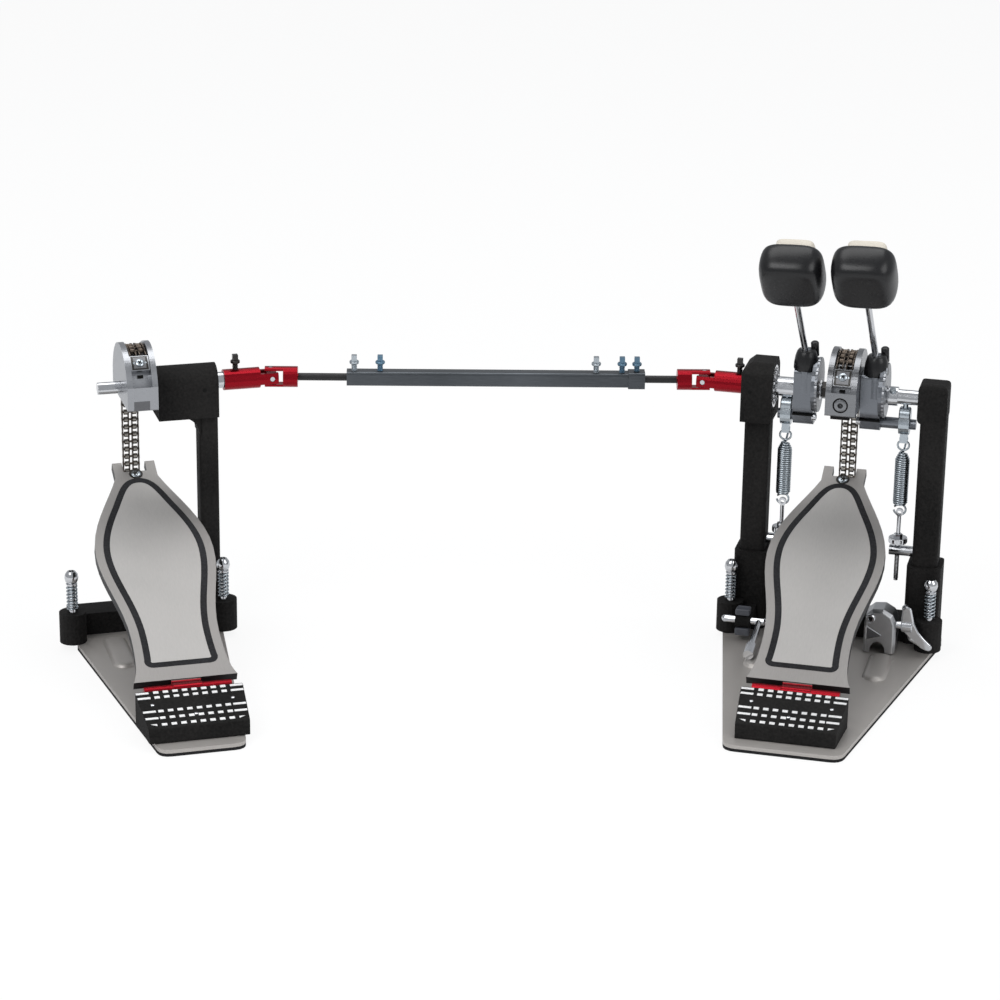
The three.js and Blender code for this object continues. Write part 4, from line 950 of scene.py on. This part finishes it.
# ---------------------------------------------------------------- floor spurs
SPUR_X = {"primary": 81.6, "slave": 62}
SPUR_Y = -22
SPUR_TURNS = 7
SPUR_COIL_R = 3.9
SPUR_COIL_LOW = 32.4
SPUR_COIL_LENGTH = 21
for prefix, spur_x in SPUR_X.items():
    for side, sign in (("left", -1), ("right", 1)):
        body = f"{prefix}_{side}_spur"
        x, y = sign * spur_x, SPUR_Y
        rod = Shape(prefix)
        rod.revolve([(0, 0.7), (3.0, 8), (3.0, 33), (2.6, 34), (2.6, 54), (4.6, 54.6), (4.6, 55.6),
                     (3.4, 56.2), (4.9, 57.4), (5.7, 60.5), (5.2, 63.6), (3.4, 65.9), (0, 66.2)],
                    (x, y, 0), UP, 24)
        rod.make(f"{prefix}_{side}_spur_screw", "chrome", body, (f"{prefix}_spur_{side}",), smooth=40)
        path = []
        for k in range(SPUR_TURNS * 16 + 1):
            a = 2 * math.pi * k / 16
            z = SPUR_COIL_LOW + SPUR_COIL_LENGTH * a / (2 * math.pi * SPUR_TURNS)
            path.append((x + SPUR_COIL_R * math.cos(a), y + SPUR_COIL_R * math.sin(a), z))
        coil = Shape(prefix)
        coil.tube(path, WIRE_R, 8)
        coil.make(f"{prefix}_{side}_spur_spring", "zinc", body, smooth=60)
        # The spur screw's cross recess is painted shade: dark bars on its top.
        cross = Shape(prefix)
        painted_cross_recess(cross, (x, y, 66.1), UP, 4.0, 0.0)
        cross.make(f"{prefix}_{side}_spur_recess_shade", "recess_shade", body)

# ---------------------------------------------------------------- stage, lights and camera
FLOOR_HALF = 9
FLOOR_Z = -0.0002
WHITE = (1, 1, 1, 1)


def stage_material():
    """A pale floor that takes shadows and looks nearly white to the camera."""
    mat, tree, shader = new_material("pale_floor")
    shader.inputs["Base Color"].default_value = (0.86, 0.86, 0.86, 1)
    shader.inputs["Roughness"].default_value = 1.0
    rays = node(tree, "ShaderNodeLightPath").outputs["Is Camera Ray"]
    part = node(tree, "ShaderNodeMath", {0: rays, 1: 0.86}, operation="MULTIPLY").outputs[0]
    white = node(tree, "ShaderNodeEmission", {"Color": WHITE, "Strength": 1.03}).outputs[0]
    mixed = node(tree, "ShaderNodeMixShader", {0: part, 1: shader.outputs[0], 2: white}).outputs[0]
    tree.links.new(mixed, tree.nodes["Material Output"].inputs["Surface"])
    return mat


floor_mesh = bpy.data.meshes.new("floor")
floor_corners = [(x * FLOOR_HALF, y * FLOOR_HALF, FLOOR_Z) for x, y in ((-1, -1), (1, -1), (1, 1), (-1, 1))]
floor_mesh.from_pydata(floor_corners, [], [(0, 1, 2, 3)])
floor = bpy.data.objects.new("floor", floor_mesh)
floor_mesh.materials.append(stage_material())
bpy.context.scene.collection.objects.link(floor)

world = bpy.data.worlds.new("studio")
bpy.context.scene.world = world
world.use_nodes = True
tree = world.node_tree
sky = tree.nodes["Background"]
sky.inputs["Color"].default_value = (0.80, 0.82, 0.85, 1)
sky.inputs["Strength"].default_value = 0.55
seen = node(tree, "ShaderNodeBackground", {"Color": WHITE, "Strength": 1.0})
rays = node(tree, "ShaderNodeLightPath").outputs["Is Camera Ray"]
mix = node(tree, "ShaderNodeMixShader", {0: rays, 1: sky.outputs[0], 2: seen.outputs[0]})
tree.links.new(mix.outputs[0], tree.nodes["World Output"].inputs["Surface"])


def area_light(name, place, aim, size, power):
    data = bpy.data.lights.new(name, "AREA")
    data.shape = "RECTANGLE"
    data.size, data.size_y = size
    data.energy = power
    lamp = bpy.data.objects.new(name, data)
    lamp.location = place
    lamp.rotation_euler = (Vector(aim) - Vector(place)).to_track_quat("-Z", "Y").to_euler()
    bpy.context.scene.collection.objects.link(lamp)


MIDDLE = (-0.28, 0, 0.1)
area_light("key", (-1.6, -1.6, 2.2), MIDDLE, (1.6, 1.2), 26)
area_light("fill", (1.5, -1.4, 1.5), MIDDLE, (1.4, 1.4), 15)
area_light("top", (-0.28, 0.5, 2.4), MIDDLE, (2.4, 1.2), 22)

EYE = Vector((-0.3291, -2.4469, 0.9907))
PITCH_DOWN = math.radians(19.654)
YAW = math.radians(-1.264)
ROLL = math.radians(0.814)
ahead = Vector((-math.sin(YAW) * math.cos(PITCH_DOWN), math.cos(YAW) * math.cos(PITCH_DOWN),
                -math.sin(PITCH_DOWN)))
level = Vector((math.cos(YAW), math.sin(YAW), 0))
over = level.cross(ahead)
right = level * math.cos(ROLL) + over * math.sin(ROLL)
upward = -level * math.sin(ROLL) + over * math.cos(ROLL)
camera_data = bpy.data.cameras.new("camera")
camera_data.sensor_width = 36
camera_data.lens = 115.2
camera = bpy.data.objects.new("camera", camera_data)
camera.matrix_world = Matrix((
    (right.x, upward.x, -ahead.x, EYE.x), (right.y, upward.y, -ahead.y, EYE.y),
    (right.z, upward.z, -ahead.z, EYE.z), (0, 0, 0, 1)))
bpy.context.scene.collection.objects.link(camera)
bpy.context.scene.camera = camera
bpy.context.scene.view_settings.view_transform = "Standard"
